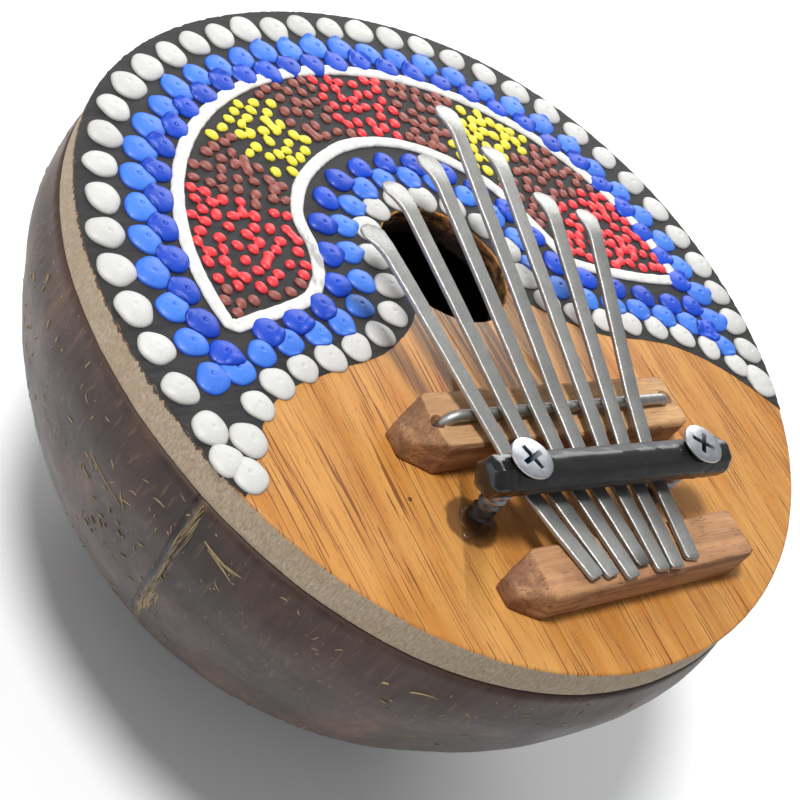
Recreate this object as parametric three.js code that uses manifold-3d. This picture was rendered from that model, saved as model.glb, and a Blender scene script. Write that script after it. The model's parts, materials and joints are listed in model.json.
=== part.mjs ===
// A seven-tine thumb piano (mbira) on a half coconut shell.
// Millimetres, +Z up.  The playing face is level, the tines point along +Y and the bridges lie along X.
// The shell stands on a small flat sanded at its pole, at z = 0, below the middle of the playing face.
import * as THREE from 'three';
import { mergeVertices } from 'three/addons/utils/BufferGeometryUtils.js';
import Module from 'manifold-3d';

const wasm = await Module();
wasm.setup();

// ---- Driving dimensions ----

const boardRadius = 65;
const boardThickness = 5.7;
const boardTop = 75;                    // height of the playing face above the foot
const clearance = 0.3;                  // running and fitting clearance between pieces
const glueLine = 0.1;                   // glue film under the board and the bridges

// The half nut is not quite round: each wave adds amplitude * cos(count * (angle - phase)).
const outOfRound = [
  { count: 2, amplitude: 1.46, phase: 42 },
  { count: 3, amplitude: 0.82, phase: 27 },
  { count: 4, amplitude: 0.53, phase: -36 },
];

const shell = { wall: 3.5, radius: 67.2, halfHeight: 78.5, centreAboveBoard: 2, tuckHeight: 9 };
const soundHole = { x: -0.7, y: 7, radius: 11.5 };

const frontBridge = { length: 57.5, width: 9.6, height: 6.4, x: -2.6, y: -26, skew: -1.5, endChamfer: 4.5 };
const backBridge = { length: 50, width: 8.2, height: 5.8, x: -1.8, y: -50.5, skew: 0, endChamfer: 4.5 };
const wire = { radius: 0.85, halfSpan: 23, x: -3.3, y: -26.4, legDepth: 4.2, bendRadius: 2 };

const tine = { width: 2.6, thickness: 0.8, tipWidth: 4.1, tipLength: 6.5, tipDrop: 1.4 };
const bar = { radius: 2.9, length: 48.4, x: -5, y: -38.65, skew: -2.9, gap: 0.4 };
const screw = { radius: 1.75, headRadius: 3.3, headEdge: 0.4, headStand: 1.1, depthInBoard: 5, x: -5.8, reach: 17.4 };

// One row for each tine, from the left: where it crosses under the bar, how far it splays
// (millimetres of X for each one of Y), how steeply it rises beyond the wire, and where its ends are.
const tines = [
  { atBar: -18.7, splay: -0.228, rise: 0.185, tip: 3.5, tail: -53.1 },
  { atBar: -14.5, splay: -0.15, rise: 0.21, tip: 9.9, tail: -53.4 },
  { atBar: -9.7, splay: -0.075, rise: 0.233, tip: 13.8, tail: -54.3 },
  { atBar: -5.6, splay: -0.018, rise: 0.245, tip: 21.8, tail: -52.8 },
  { atBar: -1, splay: 0.078, rise: 0.175, tip: 17.6, tail: -54.2 },
  { atBar: 3.05, splay: 0.144, rise: 0.19, tip: 8.9, tail: -54.3 },
  { atBar: 7.65, splay: 0.194, rise: 0.24, tip: 4.6, tail: -53.5 },
];

// ---- Derived heights ----

const rimHeight = boardTop - boardThickness - glueLine;
const frontBridgeTop = boardTop + glueLine + frontBridge.height;
const backBridgeTop = boardTop + glueLine + backBridge.height;
const wireHeight = frontBridgeTop + glueLine + wire.radius;
const tineAtTail = backBridgeTop + clearance + tine.thickness / 2;
const tineAtWire = wireHeight + wire.radius + clearance + tine.thickness / 2;
const barHeight = tineAtTail + tine.thickness / 2 + bar.gap + bar.radius;
const screwTop = barHeight + bar.radius + screw.headStand;

const colours = {
  husk: [0x2a1d17, 0.42, 0],
  board: [0xc98f4a, 0.45, 0],
  rawWood: [0x9a6c46, 0.8, 0],
  lacquer: [0x0c0c0d, 0.3, 0],
  spring: [0xa4a6a6, 0.38, 1],
  zinc: [0xc4c8cc, 0.25, 1],
};

// ---- Helpers ----

function material([color, roughness, metalness]) {
  return new THREE.MeshStandardMaterial({ color, roughness, metalness });
}

function solid(geometry) {
  const bare = geometry.clone();
  bare.deleteAttribute('normal');
  bare.deleteAttribute('uv');
  const merged = mergeVertices(bare, 1e-4);
  const vertProperties = new Float32Array(merged.attributes.position.array);
  const triVerts = new Uint32Array(merged.index.array);
  return new wasm.Manifold(new wasm.Mesh({ numProp: 3, vertProperties, triVerts }));
}

function geometryOf(manifold) {
  const mesh = manifold.getMesh();
  const geometry = new THREE.BufferGeometry();
  geometry.setAttribute('position', new THREE.BufferAttribute(new Float32Array(mesh.vertProperties), 3));
  geometry.setIndex(new THREE.BufferAttribute(new Uint32Array(mesh.triVerts), 1));
  return geometry;
}

const group = new THREE.Group();

function addPiece(name, geometry, colour) {
  const mesh = new THREE.Mesh(geometry, material(colour));
  mesh.name = name;
  group.add(mesh);
}

// Moves a geometry from its own axes to its place: turned by degrees about Z, then shifted.
function place(geometry, degrees, x, y, z) {
  geometry.rotateZ(THREE.MathUtils.degToRad(degrees));
  geometry.translate(x, y, z);
  return geometry;
}

function edgeGrowth(angle) {
  let growth = 0;
  for (const wave of outOfRound) {
    growth += wave.amplitude * Math.cos(wave.count * (angle - THREE.MathUtils.degToRad(wave.phase)));
  }
  return growth / boardRadius;
}

// ---- Shell ----

// The outer profile is an ellipse that tucks in below the board's edge.
function shellRadius(z) {
  const centre = boardTop + shell.centreAboveBoard;
  const ellipse = (height) => shell.radius * Math.sqrt(1 - ((height - centre) / shell.halfHeight) ** 2);
  const nearRim = THREE.MathUtils.smoothstep(z, rimHeight - shell.tuckHeight, rimHeight);
  return ellipse(z) - nearRim * (ellipse(rimHeight) - boardRadius);
}

function coconutShell() {
  const rows = 12;
  const centre = boardTop + shell.centreAboveBoard;
  const innerHalf = shell.halfHeight - shell.wall;
  const profile = [new THREE.Vector2(0, 0)];
  const footAngle = Math.acos(centre / shell.halfHeight);
  const rimAngle = Math.acos((centre - rimHeight) / shell.halfHeight);
  for (let i = 0; i <= rows; i++) {
    const z = centre - shell.halfHeight * Math.cos(THREE.MathUtils.lerp(footAngle, rimAngle, i / rows));
    profile.push(new THREE.Vector2(shellRadius(z), z));
  }
  const innerRim = Math.acos((centre - rimHeight) / innerHalf);
  for (let i = rows - 1; i >= 0; i--) {
    const angle = innerRim * i / (rows - 1);
    const z = centre - innerHalf * Math.cos(angle);
    const radius = i === rows - 1 ? boardRadius - shell.wall : (shell.radius - shell.wall) * Math.sin(angle);
    profile.push(new THREE.Vector2(i === 0 ? 0 : radius, z));
  }
  const geometry = new THREE.LatheGeometry(profile, 60);
  geometry.rotateX(Math.PI / 2);
  const position = geometry.attributes.position;
  for (let i = 0; i < position.count; i++) {
    const x = position.getX(i);
    const y = position.getY(i);
    const grow = 1 + edgeGrowth(Math.atan2(y, x)) * position.getZ(i) / rimHeight;
    position.setXY(i, x * grow, y * grow);
  }
  return geometry;
}

// ---- Soundboard ----

function circlePath(x, y, radius) {
  return new THREE.Path().absarc(x, y, radius, 0, 2 * Math.PI, true);
}

function screwPlaces() {
  const slope = Math.tan(THREE.MathUtils.degToRad(bar.skew));
  return [-1, 1].map((side) => {
    const x = screw.x + side * screw.reach;
    return { x, y: bar.y + slope * (x - bar.x) };
  });
}

function soundboard() {
  const points = [];
  const steps = 90;
  for (let i = 0; i < steps; i++) {
    const angle = 2 * Math.PI * i / steps;
    const radius = boardRadius * (1 + edgeGrowth(angle));
    points.push(new THREE.Vector2(radius * Math.cos(angle), radius * Math.sin(angle)));
  }
  const shape = new THREE.Shape(points);
  shape.holes.push(circlePath(soundHole.x, soundHole.y, soundHole.radius));
  for (const at of screwPlaces()) {
    shape.holes.push(circlePath(at.x, at.y, screw.radius + clearance));
  }
  const geometry = new THREE.ExtrudeGeometry(shape, {
    depth: boardThickness, bevelEnabled: false, curveSegments: 18,
  });
  return geometry.translate(0, 0, boardTop - boardThickness);
}

// ---- Bridges ----

// A block with its corners cut off in plan and its ends cut down in elevation, centred on X and Y.
function bridgeBlock({ length, width, height, endChamfer }) {
  const half = length / 2;
  const side = width / 2;
  const nearCut = 0.35 * width;
  const farCut = 0.25 * width;
  const plan = new THREE.Shape();
  plan.moveTo(-half, -side + nearCut);
  plan.lineTo(-half + endChamfer, -side);
  plan.lineTo(half - endChamfer, -side);
  plan.lineTo(half, -side + nearCut);
  plan.lineTo(half, side - farCut);
  plan.lineTo(half - endChamfer, side);
  plan.lineTo(-half + endChamfer, side);
  plan.lineTo(-half, side - farCut);
  const upright = new THREE.ExtrudeGeometry(plan, { depth: height, bevelEnabled: false });
  const wear = 0.5;
  const profile = new THREE.Shape();
  profile.moveTo(-side, 0);
  profile.lineTo(side, 0);
  profile.lineTo(side, height - wear);
  profile.lineTo(side - wear, height);
  profile.lineTo(-side + wear, height);
  profile.lineTo(-side, height - wear);
  const along = new THREE.ExtrudeGeometry(profile, { depth: length, bevelEnabled: false });
  along.rotateX(Math.PI / 2);
  along.rotateZ(Math.PI / 2);
  along.translate(-half, 0, 0);
  const shoulder = 0.5 * height;
  const topCut = 0.8 * endChamfer;
  const elevation = new THREE.Shape();
  elevation.moveTo(-half, 0);
  elevation.lineTo(half, 0);
  elevation.lineTo(half, shoulder);
  elevation.lineTo(half - topCut, height);
  elevation.lineTo(-half + topCut, height);
  elevation.lineTo(-half, shoulder);
  const across = new THREE.ExtrudeGeometry(elevation, { depth: width, bevelEnabled: false });
  across.rotateX(Math.PI / 2);
  across.translate(0, side, 0);
  return solid(upright).intersect(solid(along)).intersect(solid(across));
}

// The wire staple's centre line: up out of one hole, along the bridge and down into the other.
function wirePath() {
  const r = wire.bendRadius;
  const half = wire.halfSpan;
  const path = new THREE.CurvePath();
  const point = (x, z) => new THREE.Vector3(x, 0, z);
  const bend = (from, corner, to) => new THREE.QuadraticBezierCurve3(from, corner, to);
  path.add(new THREE.LineCurve3(point(-half, -wire.legDepth - r), point(-half, -r)));
  path.add(bend(point(-half, -r), point(-half, 0), point(-half + r, 0)));
  path.add(new THREE.LineCurve3(point(-half + r, 0), point(half - r, 0)));
  path.add(bend(point(half - r, 0), point(half, 0), point(half, -r)));
  path.add(new THREE.LineCurve3(point(half, -r), point(half, -wire.legDepth - r)));
  return path;
}

function wireTube(radius) {
  const section = new THREE.Shape().absarc(0, 0, radius, 0, 2 * Math.PI, false);
  const geometry = new THREE.ExtrudeGeometry(section, {
    steps: 36, extrudePath: wirePath(), bevelEnabled: false, curveSegments: 6,
  });
  return place(geometry, frontBridge.skew, wire.x, wire.y, wireHeight);
}

function frontBridgeBlock() {
  const block = geometryOf(bridgeBlock(frontBridge));
  place(block, frontBridge.skew, frontBridge.x, frontBridge.y, boardTop + glueLine);
  return geometryOf(solid(block).subtract(solid(wireTube(wire.radius + clearance))));
}

function backBridgeBlock() {
  const block = geometryOf(bridgeBlock(backBridge));
  return place(block, backBridge.skew, backBridge.x, backBridge.y, boardTop + glueLine);
}

// ---- Pressure bar and its screws ----

// The screw's half section, or with grow above zero that of the hole it passes through, open at the top.
function screwProfile(grow) {
  const head = screw.headRadius + grow;
  const shank = screw.radius + grow;
  const neck = screwTop - screw.headEdge - (screw.headRadius - screw.radius);
  const tip = boardTop - screw.depthInBoard;
  const taper = 2.5;
  const point = 0.3;
  const seat = grow * Math.tan(Math.PI / 8);
  const top = grow > 0 ? barHeight + 2 * bar.radius : screwTop;
  return [
    new THREE.Vector2(0, tip - grow),
    new THREE.Vector2(point + grow, tip - grow),
    new THREE.Vector2(shank, tip + taper),
    new THREE.Vector2(shank, neck - seat),
    new THREE.Vector2(head, screwTop - screw.headEdge - seat),
    new THREE.Vector2(head, top),
    new THREE.Vector2(0, top),
  ];
}

function turned(profile, segments, x, y) {
  const geometry = new THREE.LatheGeometry(profile, segments);
  geometry.rotateX(Math.PI / 2);
  return geometry.translate(x, y, 0);
}

function pressureBar() {
  const round = 1;
  const section = new THREE.Shape().absarc(0, 0, bar.radius - round, 0, 2 * Math.PI, false);
  const rod = new THREE.ExtrudeGeometry(section, {
    depth: bar.length - 2 * round, bevelEnabled: true, bevelThickness: round, bevelSize: round,
    bevelSegments: 3, curveSegments: 10,
  });
  rod.translate(0, 0, round - bar.length / 2);
  rod.rotateY(Math.PI / 2);
  place(rod, bar.skew, bar.x, bar.y, barHeight);
  let drilled = solid(rod);
  for (const at of screwPlaces()) {
    drilled = drilled.subtract(solid(turned(screwProfile(clearance), 24, at.x, at.y)));
  }
  return geometryOf(drilled);
}

// A countersunk wood screw with a cross recess.
function barScrew(at, degrees) {
  let body = solid(turned(screwProfile(0), 24, at.x, at.y));
  const recess = { length: 3.6, width: 0.8, depth: 1.1 };
  for (const turn of [0, 90]) {
    const slot = new THREE.BoxGeometry(recess.length, recess.width, 2 * recess.depth);
    body = body.subtract(solid(place(slot, degrees + turn, at.x, at.y, screwTop)));
  }
  return geometryOf(body);
}

// ---- Tines ----

function yOnBar(x) {
  return bar.y + Math.tan(THREE.MathUtils.degToRad(bar.skew)) * (x - bar.x);
}

function yOnWire(x) {
  return wire.y + Math.tan(THREE.MathUtils.degToRad(frontBridge.skew)) * (x - wire.x);
}

// Places of the bar, the wire and both ends along a tine, measured from the bar in its own direction.
function tineStations(t) {
  const barY = yOnBar(t.atBar);
  const stretch = Math.hypot(1, t.splay);
  const wireY = yOnWire(t.atBar + t.splay * (wire.y - barY));
  return {
    barY,
    wire: (wireY - barY) * stretch,
    tip: (t.tip - barY) * stretch,
    tail: (t.tail - barY) * stretch,
  };
}

// A strip seen from its side: the centre line [distance, height] thickened both ways.
function stripSide(line, thickness) {
  const upper = [];
  const lower = [];
  line.forEach((point, i) => {
    const before = line[Math.max(i - 1, 0)];
    const after = line[Math.min(i + 1, line.length - 1)];
    const run = new THREE.Vector2(after[0] - before[0], after[1] - before[1]).normalize();
    const across = new THREE.Vector2(-run.y, run.x).multiplyScalar(thickness / 2);
    upper.push(new THREE.Vector2(point[0] + across.x, point[1] + across.y));
    lower.push(new THREE.Vector2(point[0] - across.x, point[1] - across.y));
  });
  return new THREE.Shape(lower.concat(upper.reverse()));
}

// The strip's side view carried across, cut to its outline in plan and set in its place.
function strip(t, line, outline) {
  const reach = tine.tipWidth + 2;
  const side = new THREE.ExtrudeGeometry(stripSide(line, tine.thickness), { depth: reach, bevelEnabled: false });
  side.translate(0, 0, -reach / 2);
  side.rotateX(Math.PI / 2);
  const aboveAll = 40;
  const plan = new THREE.ExtrudeGeometry(outline, { depth: aboveAll, bevelEnabled: false, curveSegments: 5 });
  plan.translate(0, 0, boardTop);
  const geometry = geometryOf(solid(side).intersect(solid(plan)));
  const heading = 90 - THREE.MathUtils.radToDeg(Math.atan(t.splay));
  return place(geometry, heading, t.atBar, tineStations(t).barY, 0);
}

// The clamped half: flat from its end to the bar, then rising to the wire.
function tineTail(t) {
  const at = tineStations(t);
  const front = at.wire - clearance / 2;
  const slope = (tineAtWire - tineAtTail) / at.wire;
  const bend = 0.8;
  const line = [
    [at.tail - 1, tineAtTail],
    [-bend, tineAtTail],
    [bend, tineAtTail + slope * bend],
    [front + 1, tineAtTail + slope * (front + 1)],
  ];
  const half = tine.width / 2;
  const corner = 0.5;
  const outline = new THREE.Shape();
  outline.moveTo(at.tail, -half + corner);
  outline.lineTo(at.tail + corner, -half);
  outline.lineTo(front, -half);
  outline.lineTo(front, half);
  outline.lineTo(at.tail + corner, half);
  outline.lineTo(at.tail, half - corner);
  return strip(t, line, outline);
}

// The free half: rising from the wire, with a broad rounded tip that dips.
function tineTongue(t) {
  const at = tineStations(t);
  const back = at.wire + clearance / 2;
  const dipStart = at.tip - tine.tipLength;
  const line = [[back - 1, tineAtWire - t.rise]];
  const steps = 4;
  for (let i = 0; i <= steps; i++) {
    const s = THREE.MathUtils.lerp(dipStart, at.tip + 1, i / steps);
    const part = (s - dipStart) / tine.tipLength;
    line.push([s, tineAtWire + t.rise * (s - at.wire) - tine.tipDrop * part * part]);
  }
  const half = tine.width / 2;
  const broad = tine.tipWidth / 2;
  const flareEnd = at.tip - 2.2;
  const flareBend = at.tip - 3.5;
  const outline = new THREE.Shape();
  outline.moveTo(back, -half);
  outline.lineTo(dipStart, -half);
  outline.quadraticCurveTo(flareBend, -half, flareEnd, -broad);
  outline.quadraticCurveTo(at.tip, -broad, at.tip, 0);
  outline.quadraticCurveTo(at.tip, broad, flareEnd, broad);
  outline.quadraticCurveTo(flareBend, half, dipStart, half);
  outline.lineTo(back, half);
  return strip(t, line, outline);
}

// ---- Assembly ----

addPiece('coconut_shell', coconutShell(), colours.husk);
addPiece('soundboard', soundboard(), colours.board);
addPiece('front_bridge', frontBridgeBlock(), colours.rawWood);
addPiece('back_bridge', backBridgeBlock(), colours.rawWood);
addPiece('bridge_wire', wireTube(wire.radius), colours.spring);
addPiece('pressure_bar', pressureBar(), colours.lacquer);
const [leftScrew, rightScrew] = screwPlaces();
addPiece('screw_left', barScrew(leftScrew, 20), colours.zinc);
addPiece('screw_right', barScrew(rightScrew, 15), colours.zinc);
tines.forEach((t, i) => {
  addPiece(`tine_${i + 1}_tail`, tineTail(t), colours.spring);
  addPiece(`tine_${i + 1}_tongue`, tineTongue(t), colours.spring);
});

export default group;
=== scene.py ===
"""A seven-tine mbira on a half coconut shell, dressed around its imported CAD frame.

Lengths are in millimetres and are turned into metres where a mesh is made.  Most shapes are drawn
in board axes: the origin is on the playing face above the foot, X runs along the bridges and Y runs
along the grain to the tine tips.
"""
import json
import math
import random

import bmesh
import bpy
import numpy as np
from mathutils import Matrix, Vector, noise


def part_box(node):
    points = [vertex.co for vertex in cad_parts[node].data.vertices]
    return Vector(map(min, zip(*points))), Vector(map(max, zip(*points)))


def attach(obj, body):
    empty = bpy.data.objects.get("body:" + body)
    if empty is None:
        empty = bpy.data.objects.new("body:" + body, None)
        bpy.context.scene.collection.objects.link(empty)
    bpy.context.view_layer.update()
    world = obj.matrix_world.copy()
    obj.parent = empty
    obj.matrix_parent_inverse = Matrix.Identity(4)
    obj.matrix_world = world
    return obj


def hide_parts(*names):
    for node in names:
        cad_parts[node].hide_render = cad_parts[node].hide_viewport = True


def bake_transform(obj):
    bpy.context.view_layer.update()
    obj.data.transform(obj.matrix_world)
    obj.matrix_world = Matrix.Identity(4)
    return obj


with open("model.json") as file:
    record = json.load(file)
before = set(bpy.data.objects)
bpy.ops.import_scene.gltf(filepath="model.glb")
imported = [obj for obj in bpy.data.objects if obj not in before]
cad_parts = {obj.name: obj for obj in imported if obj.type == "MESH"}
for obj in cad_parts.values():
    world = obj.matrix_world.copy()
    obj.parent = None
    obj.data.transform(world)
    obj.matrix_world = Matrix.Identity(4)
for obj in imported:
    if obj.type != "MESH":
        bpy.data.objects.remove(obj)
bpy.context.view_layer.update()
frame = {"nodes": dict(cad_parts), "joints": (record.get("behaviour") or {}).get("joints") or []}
scene = bpy.context.scene
MM = 0.001
TAU = 2 * math.pi


# ---- Reading the frame ----

def node_points(node):
    """A CAD node's vertices in millimetres, in the row frame."""
    mesh = frame["nodes"][node].data
    flat = np.zeros(len(mesh.vertices) * 3)
    mesh.vertices.foreach_get("co", flat)
    return flat.reshape(-1, 3) / MM


def joint(name):
    return next(j for j in frame["joints"] if j["name"] == name)


BOARD_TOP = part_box("soundboard")[1].z / MM
BOARD_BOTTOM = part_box("soundboard")[0].z / MM
FACE = np.array([0, 0, BOARD_TOP])


def smooth_edge(node, height, waves=5):
    """The radius round the Z axis as a function of the angle, from the node's vertices at one height."""
    points = node_points(node)
    ring = points[np.abs(points[:, 2] - height) < 0.01]
    radius = np.hypot(ring[:, 0], ring[:, 1])
    ring = ring[radius > 0.8 * radius.max()]
    angle = np.arctan2(ring[:, 1], ring[:, 0])
    terms = [np.ones_like(angle)]
    for n in range(1, waves):
        terms += [np.cos(n * angle), np.sin(n * angle)]
    fit = np.linalg.lstsq(np.array(terms).T, np.hypot(ring[:, 0], ring[:, 1]), rcond=None)[0]

    def radius_at(a):
        total = fit[0]
        for n in range(1, waves):
            total = total + fit[2 * n - 1] * np.cos(n * a) + fit[2 * n] * np.sin(n * a)
        return total

    return radius_at


board_edge = smooth_edge("soundboard", BOARD_TOP)


# ---- Curves and noise ----

def through(points, closed=False, step=0.4):
    """A smooth curve through given points, as evenly spaced points."""
    p = np.array(points, float)
    n = len(p)
    count = n if closed else n - 1
    curve = []
    for i in range(count):
        a = p[(i - 1) % n] if closed or i else 2 * p[0] - p[1]
        b = p[i]
        c = p[(i + 1) % n]
        d = p[(i + 2) % n] if closed or i + 2 < n else 2 * p[-1] - p[-2]
        for t in np.linspace(0, 1, 24, endpoint=False):
            curve.append(0.5 * (2 * b + (c - a) * t + (2 * a - 5 * b + 4 * c - d) * t ** 2
                                + (3 * b - 3 * c + d - a) * t ** 3))
    curve.append(p[0] if closed else p[-1])
    return evenly(np.array(curve), step)


def evenly(curve, step):
    """The same curve with points a fixed distance apart, ends kept."""
    run = np.concatenate([[0], np.cumsum(np.linalg.norm(np.diff(curve, axis=0), axis=1))])
    places = np.linspace(0, run[-1], max(2, round(run[-1] / step) + 1))
    return np.array([np.interp(places, run, curve[:, k]) for k in range(curve.shape[1])]).T


def wander(x, y, z, size, octaves=3):
    """Smooth noise from -1 to 1 whose features are about size millimetres."""
    return noise.fractal(Vector((x, y, z)) / size, 1.0, 2.0, octaves, noise_basis="PERLIN_ORIGINAL")


# ---- Making pieces ----

def piece(name, points, faces, material, origin=FACE, smooth=True):
    mesh = bpy.data.meshes.new(name)
    mesh.from_pydata(((np.array(points) + origin) * MM).tolist(), [], [list(f) for f in faces])
    mesh.materials.append(material)
    mesh.polygons.foreach_set("use_smooth", [smooth] * len(mesh.polygons))
    mesh.update()
    obj = bpy.data.objects.new(name, mesh)
    scene.collection.objects.link(obj)
    return obj


def face_outward(obj):
    work = bmesh.new()
    work.from_mesh(obj.data)
    bmesh.ops.remove_doubles(work, verts=work.verts, dist=1e-7)
    bmesh.ops.recalc_face_normals(work, faces=work.faces)
    work.to_mesh(obj.data)
    work.free()
    obj.data.update()
    return obj


def settle(obj):
    """Turns the piece's modifiers into mesh."""
    bpy.context.view_layer.update()
    shown = obj.evaluated_get(bpy.context.evaluated_depsgraph_get())
    mesh = bpy.data.meshes.new_from_object(shown)
    obj.modifiers.clear()
    old = obj.data
    obj.data = mesh
    mesh.name = obj.name
    bpy.data.meshes.remove(old)
    mesh.polygons.foreach_set("use_smooth", [True] * len(mesh.polygons))
    return obj


def remeshed(obj, voxel, rounds=0):
    change = obj.modifiers.new("fuse", "REMESH")
    change.mode = "VOXEL"
    change.voxel_size = voxel * MM
    if rounds:
        soft = obj.modifiers.new("soften", "SMOOTH")
        soft.factor = 0.5
        soft.iterations = rounds
    return settle(obj)


def cut_away(obj, cutter):
    change = obj.modifiers.new("cut", "BOOLEAN")
    change.operation = "DIFFERENCE"
    change.solver = "EXACT"
    change.object = cutter
    settle(obj)
    bpy.data.objects.remove(cutter)
    return obj


def shifted(obj, shift):
    """Moves each vertex by shift(x, y, z) millimetres, all in the row frame."""
    for vertex in obj.data.vertices:
        vertex.co += Vector(shift(*(vertex.co / MM))) * MM
    obj.data.update()
    return obj


def hull_of(name, node, material):
    """The convex body that a CAD block was cut from."""
    obj = piece(name, node_points(node), [], material, origin=np.zeros(3))
    work = bmesh.new()
    work.from_mesh(obj.data)
    made = bmesh.ops.convex_hull(work, input=work.verts)
    loose = [v for v in made["geom_interior"] + made["geom_unused"] if isinstance(v, bmesh.types.BMVert)]
    bmesh.ops.delete(work, geom=list(set(loose)), context="VERTS")
    work.to_mesh(obj.data)
    work.free()
    return obj


def mark(obj, name, values):
    """Stores one number for each vertex, which the material reads."""
    layer = obj.data.attributes.new(name, "FLOAT", "POINT")
    layer.data.foreach_set("value", values)


def grid_faces(rows, columns, closed=True):
    """Quads between rows of points, each row closed on itself or open."""
    faces = []
    for i in range(rows - 1):
        for j in range(columns if closed else columns - 1):
            k = (j + 1) % columns
            faces.append((i * columns + j, i * columns + k, (i + 1) * columns + k, (i + 1) * columns + j))
    return faces


def lathe(name, profile, segments, material, origin=FACE):
    """A closed turned body about Z from (radius, height) points, both ends on the axis."""
    points = [(0, 0, profile[0][1])]
    for radius, height in profile[1:-1]:
        for k in range(segments):
            a = TAU * k / segments
            points.append((radius * math.cos(a), radius * math.sin(a), height))
    points.append((0, 0, profile[-1][1]))
    rows = len(profile) - 2
    faces = [tuple(1 + i for i in f) for f in grid_faces(rows, segments)]
    last = 1 + (rows - 1) * segments
    for k in range(segments):
        n = (k + 1) % segments
        faces.append((0, 1 + n, 1 + k))
        faces.append((last + k, last + n, len(points) - 1))
    return face_outward(piece(name, points, faces, material, origin))


# ---- Materials ----

class Paint:
    """A material under construction: nodes read the piece's own coordinates in millimetres."""

    def __init__(self, name, roughness=0.5, metallic=0.0, coat=0.0, specular=0.5):
        self.material = bpy.data.materials.new(name)
        self.material.use_nodes = True
        self.nodes = self.material.node_tree.nodes
        self.links = self.material.node_tree.links
        self.shader = self.nodes["Principled BSDF"]
        self.shader.inputs["Roughness"].default_value = roughness
        self.shader.inputs["Metallic"].default_value = metallic
        self.shader.inputs["Coat Weight"].default_value = coat
        self.shader.inputs["Coat Roughness"].default_value = 0.12
        self.shader.inputs["Specular IOR Level"].default_value = specular
        place = self.nodes.new("ShaderNodeTexCoord")
        self.place = self.vector("MULTIPLY", place.outputs["Object"], (1 / MM, 1 / MM, 1 / MM))
        self.xyz = self.split(self.place)

    def feed(self, socket, value):
        if isinstance(value, bpy.types.NodeSocket):
            self.links.new(value, socket)
        else:
            socket.default_value = value

    def vector(self, operation, a, b):
        node = self.nodes.new("ShaderNodeVectorMath")
        node.operation = operation
        self.feed(node.inputs[0], a)
        self.feed(node.inputs[1], b)
        return node.outputs["Value" if operation in ("LENGTH", "DISTANCE") else "Vector"]

    def math(self, operation, a, b=0.0, c=0.0):
        node = self.nodes.new("ShaderNodeMath")
        node.operation = operation
        self.feed(node.inputs[0], a)
        self.feed(node.inputs[1], b)
        self.feed(node.inputs[2], c)
        return node.outputs[0]

    def split(self, vector):
        node = self.nodes.new("ShaderNodeSeparateXYZ")
        self.feed(node.inputs[0], vector)
        return node.outputs

    def join(self, x, y, z):
        node = self.nodes.new("ShaderNodeCombineXYZ")
        for socket, value in zip(node.inputs, (x, y, z)):
            self.feed(socket, value)
        return node.outputs[0]

    def stretched(self, sizes, base=None):
        """The place divided by a feature size along each axis."""
        return self.vector("DIVIDE", base or self.place, sizes)

    def noise(self, sizes, detail=3.0, roughness=0.55, base=None, distortion=0.0):
        node = self.nodes.new("ShaderNodeTexNoise")
        self.feed(node.inputs["Vector"], self.stretched(sizes, base))
        node.inputs["Scale"].default_value = 1.0
        node.inputs["Detail"].default_value = detail
        node.inputs["Roughness"].default_value = roughness
        node.inputs["Distortion"].default_value = distortion
        return node.outputs["Fac"]

    def between(self, value, low, high):
        """0 below low, 1 above high; low may be the larger for the opposite sense."""
        node = self.nodes.new("ShaderNodeMapRange")
        node.interpolation_type = "SMOOTHSTEP"
        self.feed(node.inputs["Value"], value)
        flip = low > high
        node.inputs["From Min"].default_value = min(low, high)
        node.inputs["From Max"].default_value = max(low, high)
        node.inputs["To Min"].default_value = 1.0 if flip else 0.0
        node.inputs["To Max"].default_value = 0.0 if flip else 1.0
        return node.outputs["Result"]

    def scale(self, value, low, high):
        """Spreads a 0 to 1 value over low to high."""
        return self.math("MULTIPLY_ADD", value, high - low, low)

    def blend(self, amount, a, b):
        node = self.nodes.new("ShaderNodeMix")
        node.data_type = "RGBA"
        self.feed(node.inputs[0], amount)
        self.feed(node.inputs[6], a)
        self.feed(node.inputs[7], b)
        return node.outputs[2]

    def attribute(self, name):
        node = self.nodes.new("ShaderNodeAttribute")
        node.attribute_name = name
        return node.outputs["Fac"]

    def bump(self, height, distance, strength=1.0, under=None):
        node = self.nodes.new("ShaderNodeBump")
        node.inputs["Strength"].default_value = strength
        node.inputs["Distance"].default_value = distance * MM
        self.feed(node.inputs["Height"], height)
        if under is not None:
            self.feed(node.inputs["Normal"], under)
        return node.outputs["Normal"]

    def finish(self, colour, roughness=None, normal=None):
        self.feed(self.shader.inputs["Base Color"], colour)
        if roughness is not None:
            self.feed(self.shader.inputs["Roughness"], roughness)
        if normal is not None:
            self.feed(self.shader.inputs["Normal"], normal)
        return self.material


def rgb(red, green, blue):
    """A colour given as 0 to 255 screen values."""
    def linear(value):
        value /= 255
        return value / 12.92 if value <= 0.04045 else ((value + 0.055) / 1.055) ** 2.4
    return (linear(red), linear(green), linear(blue), 1.0)


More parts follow.
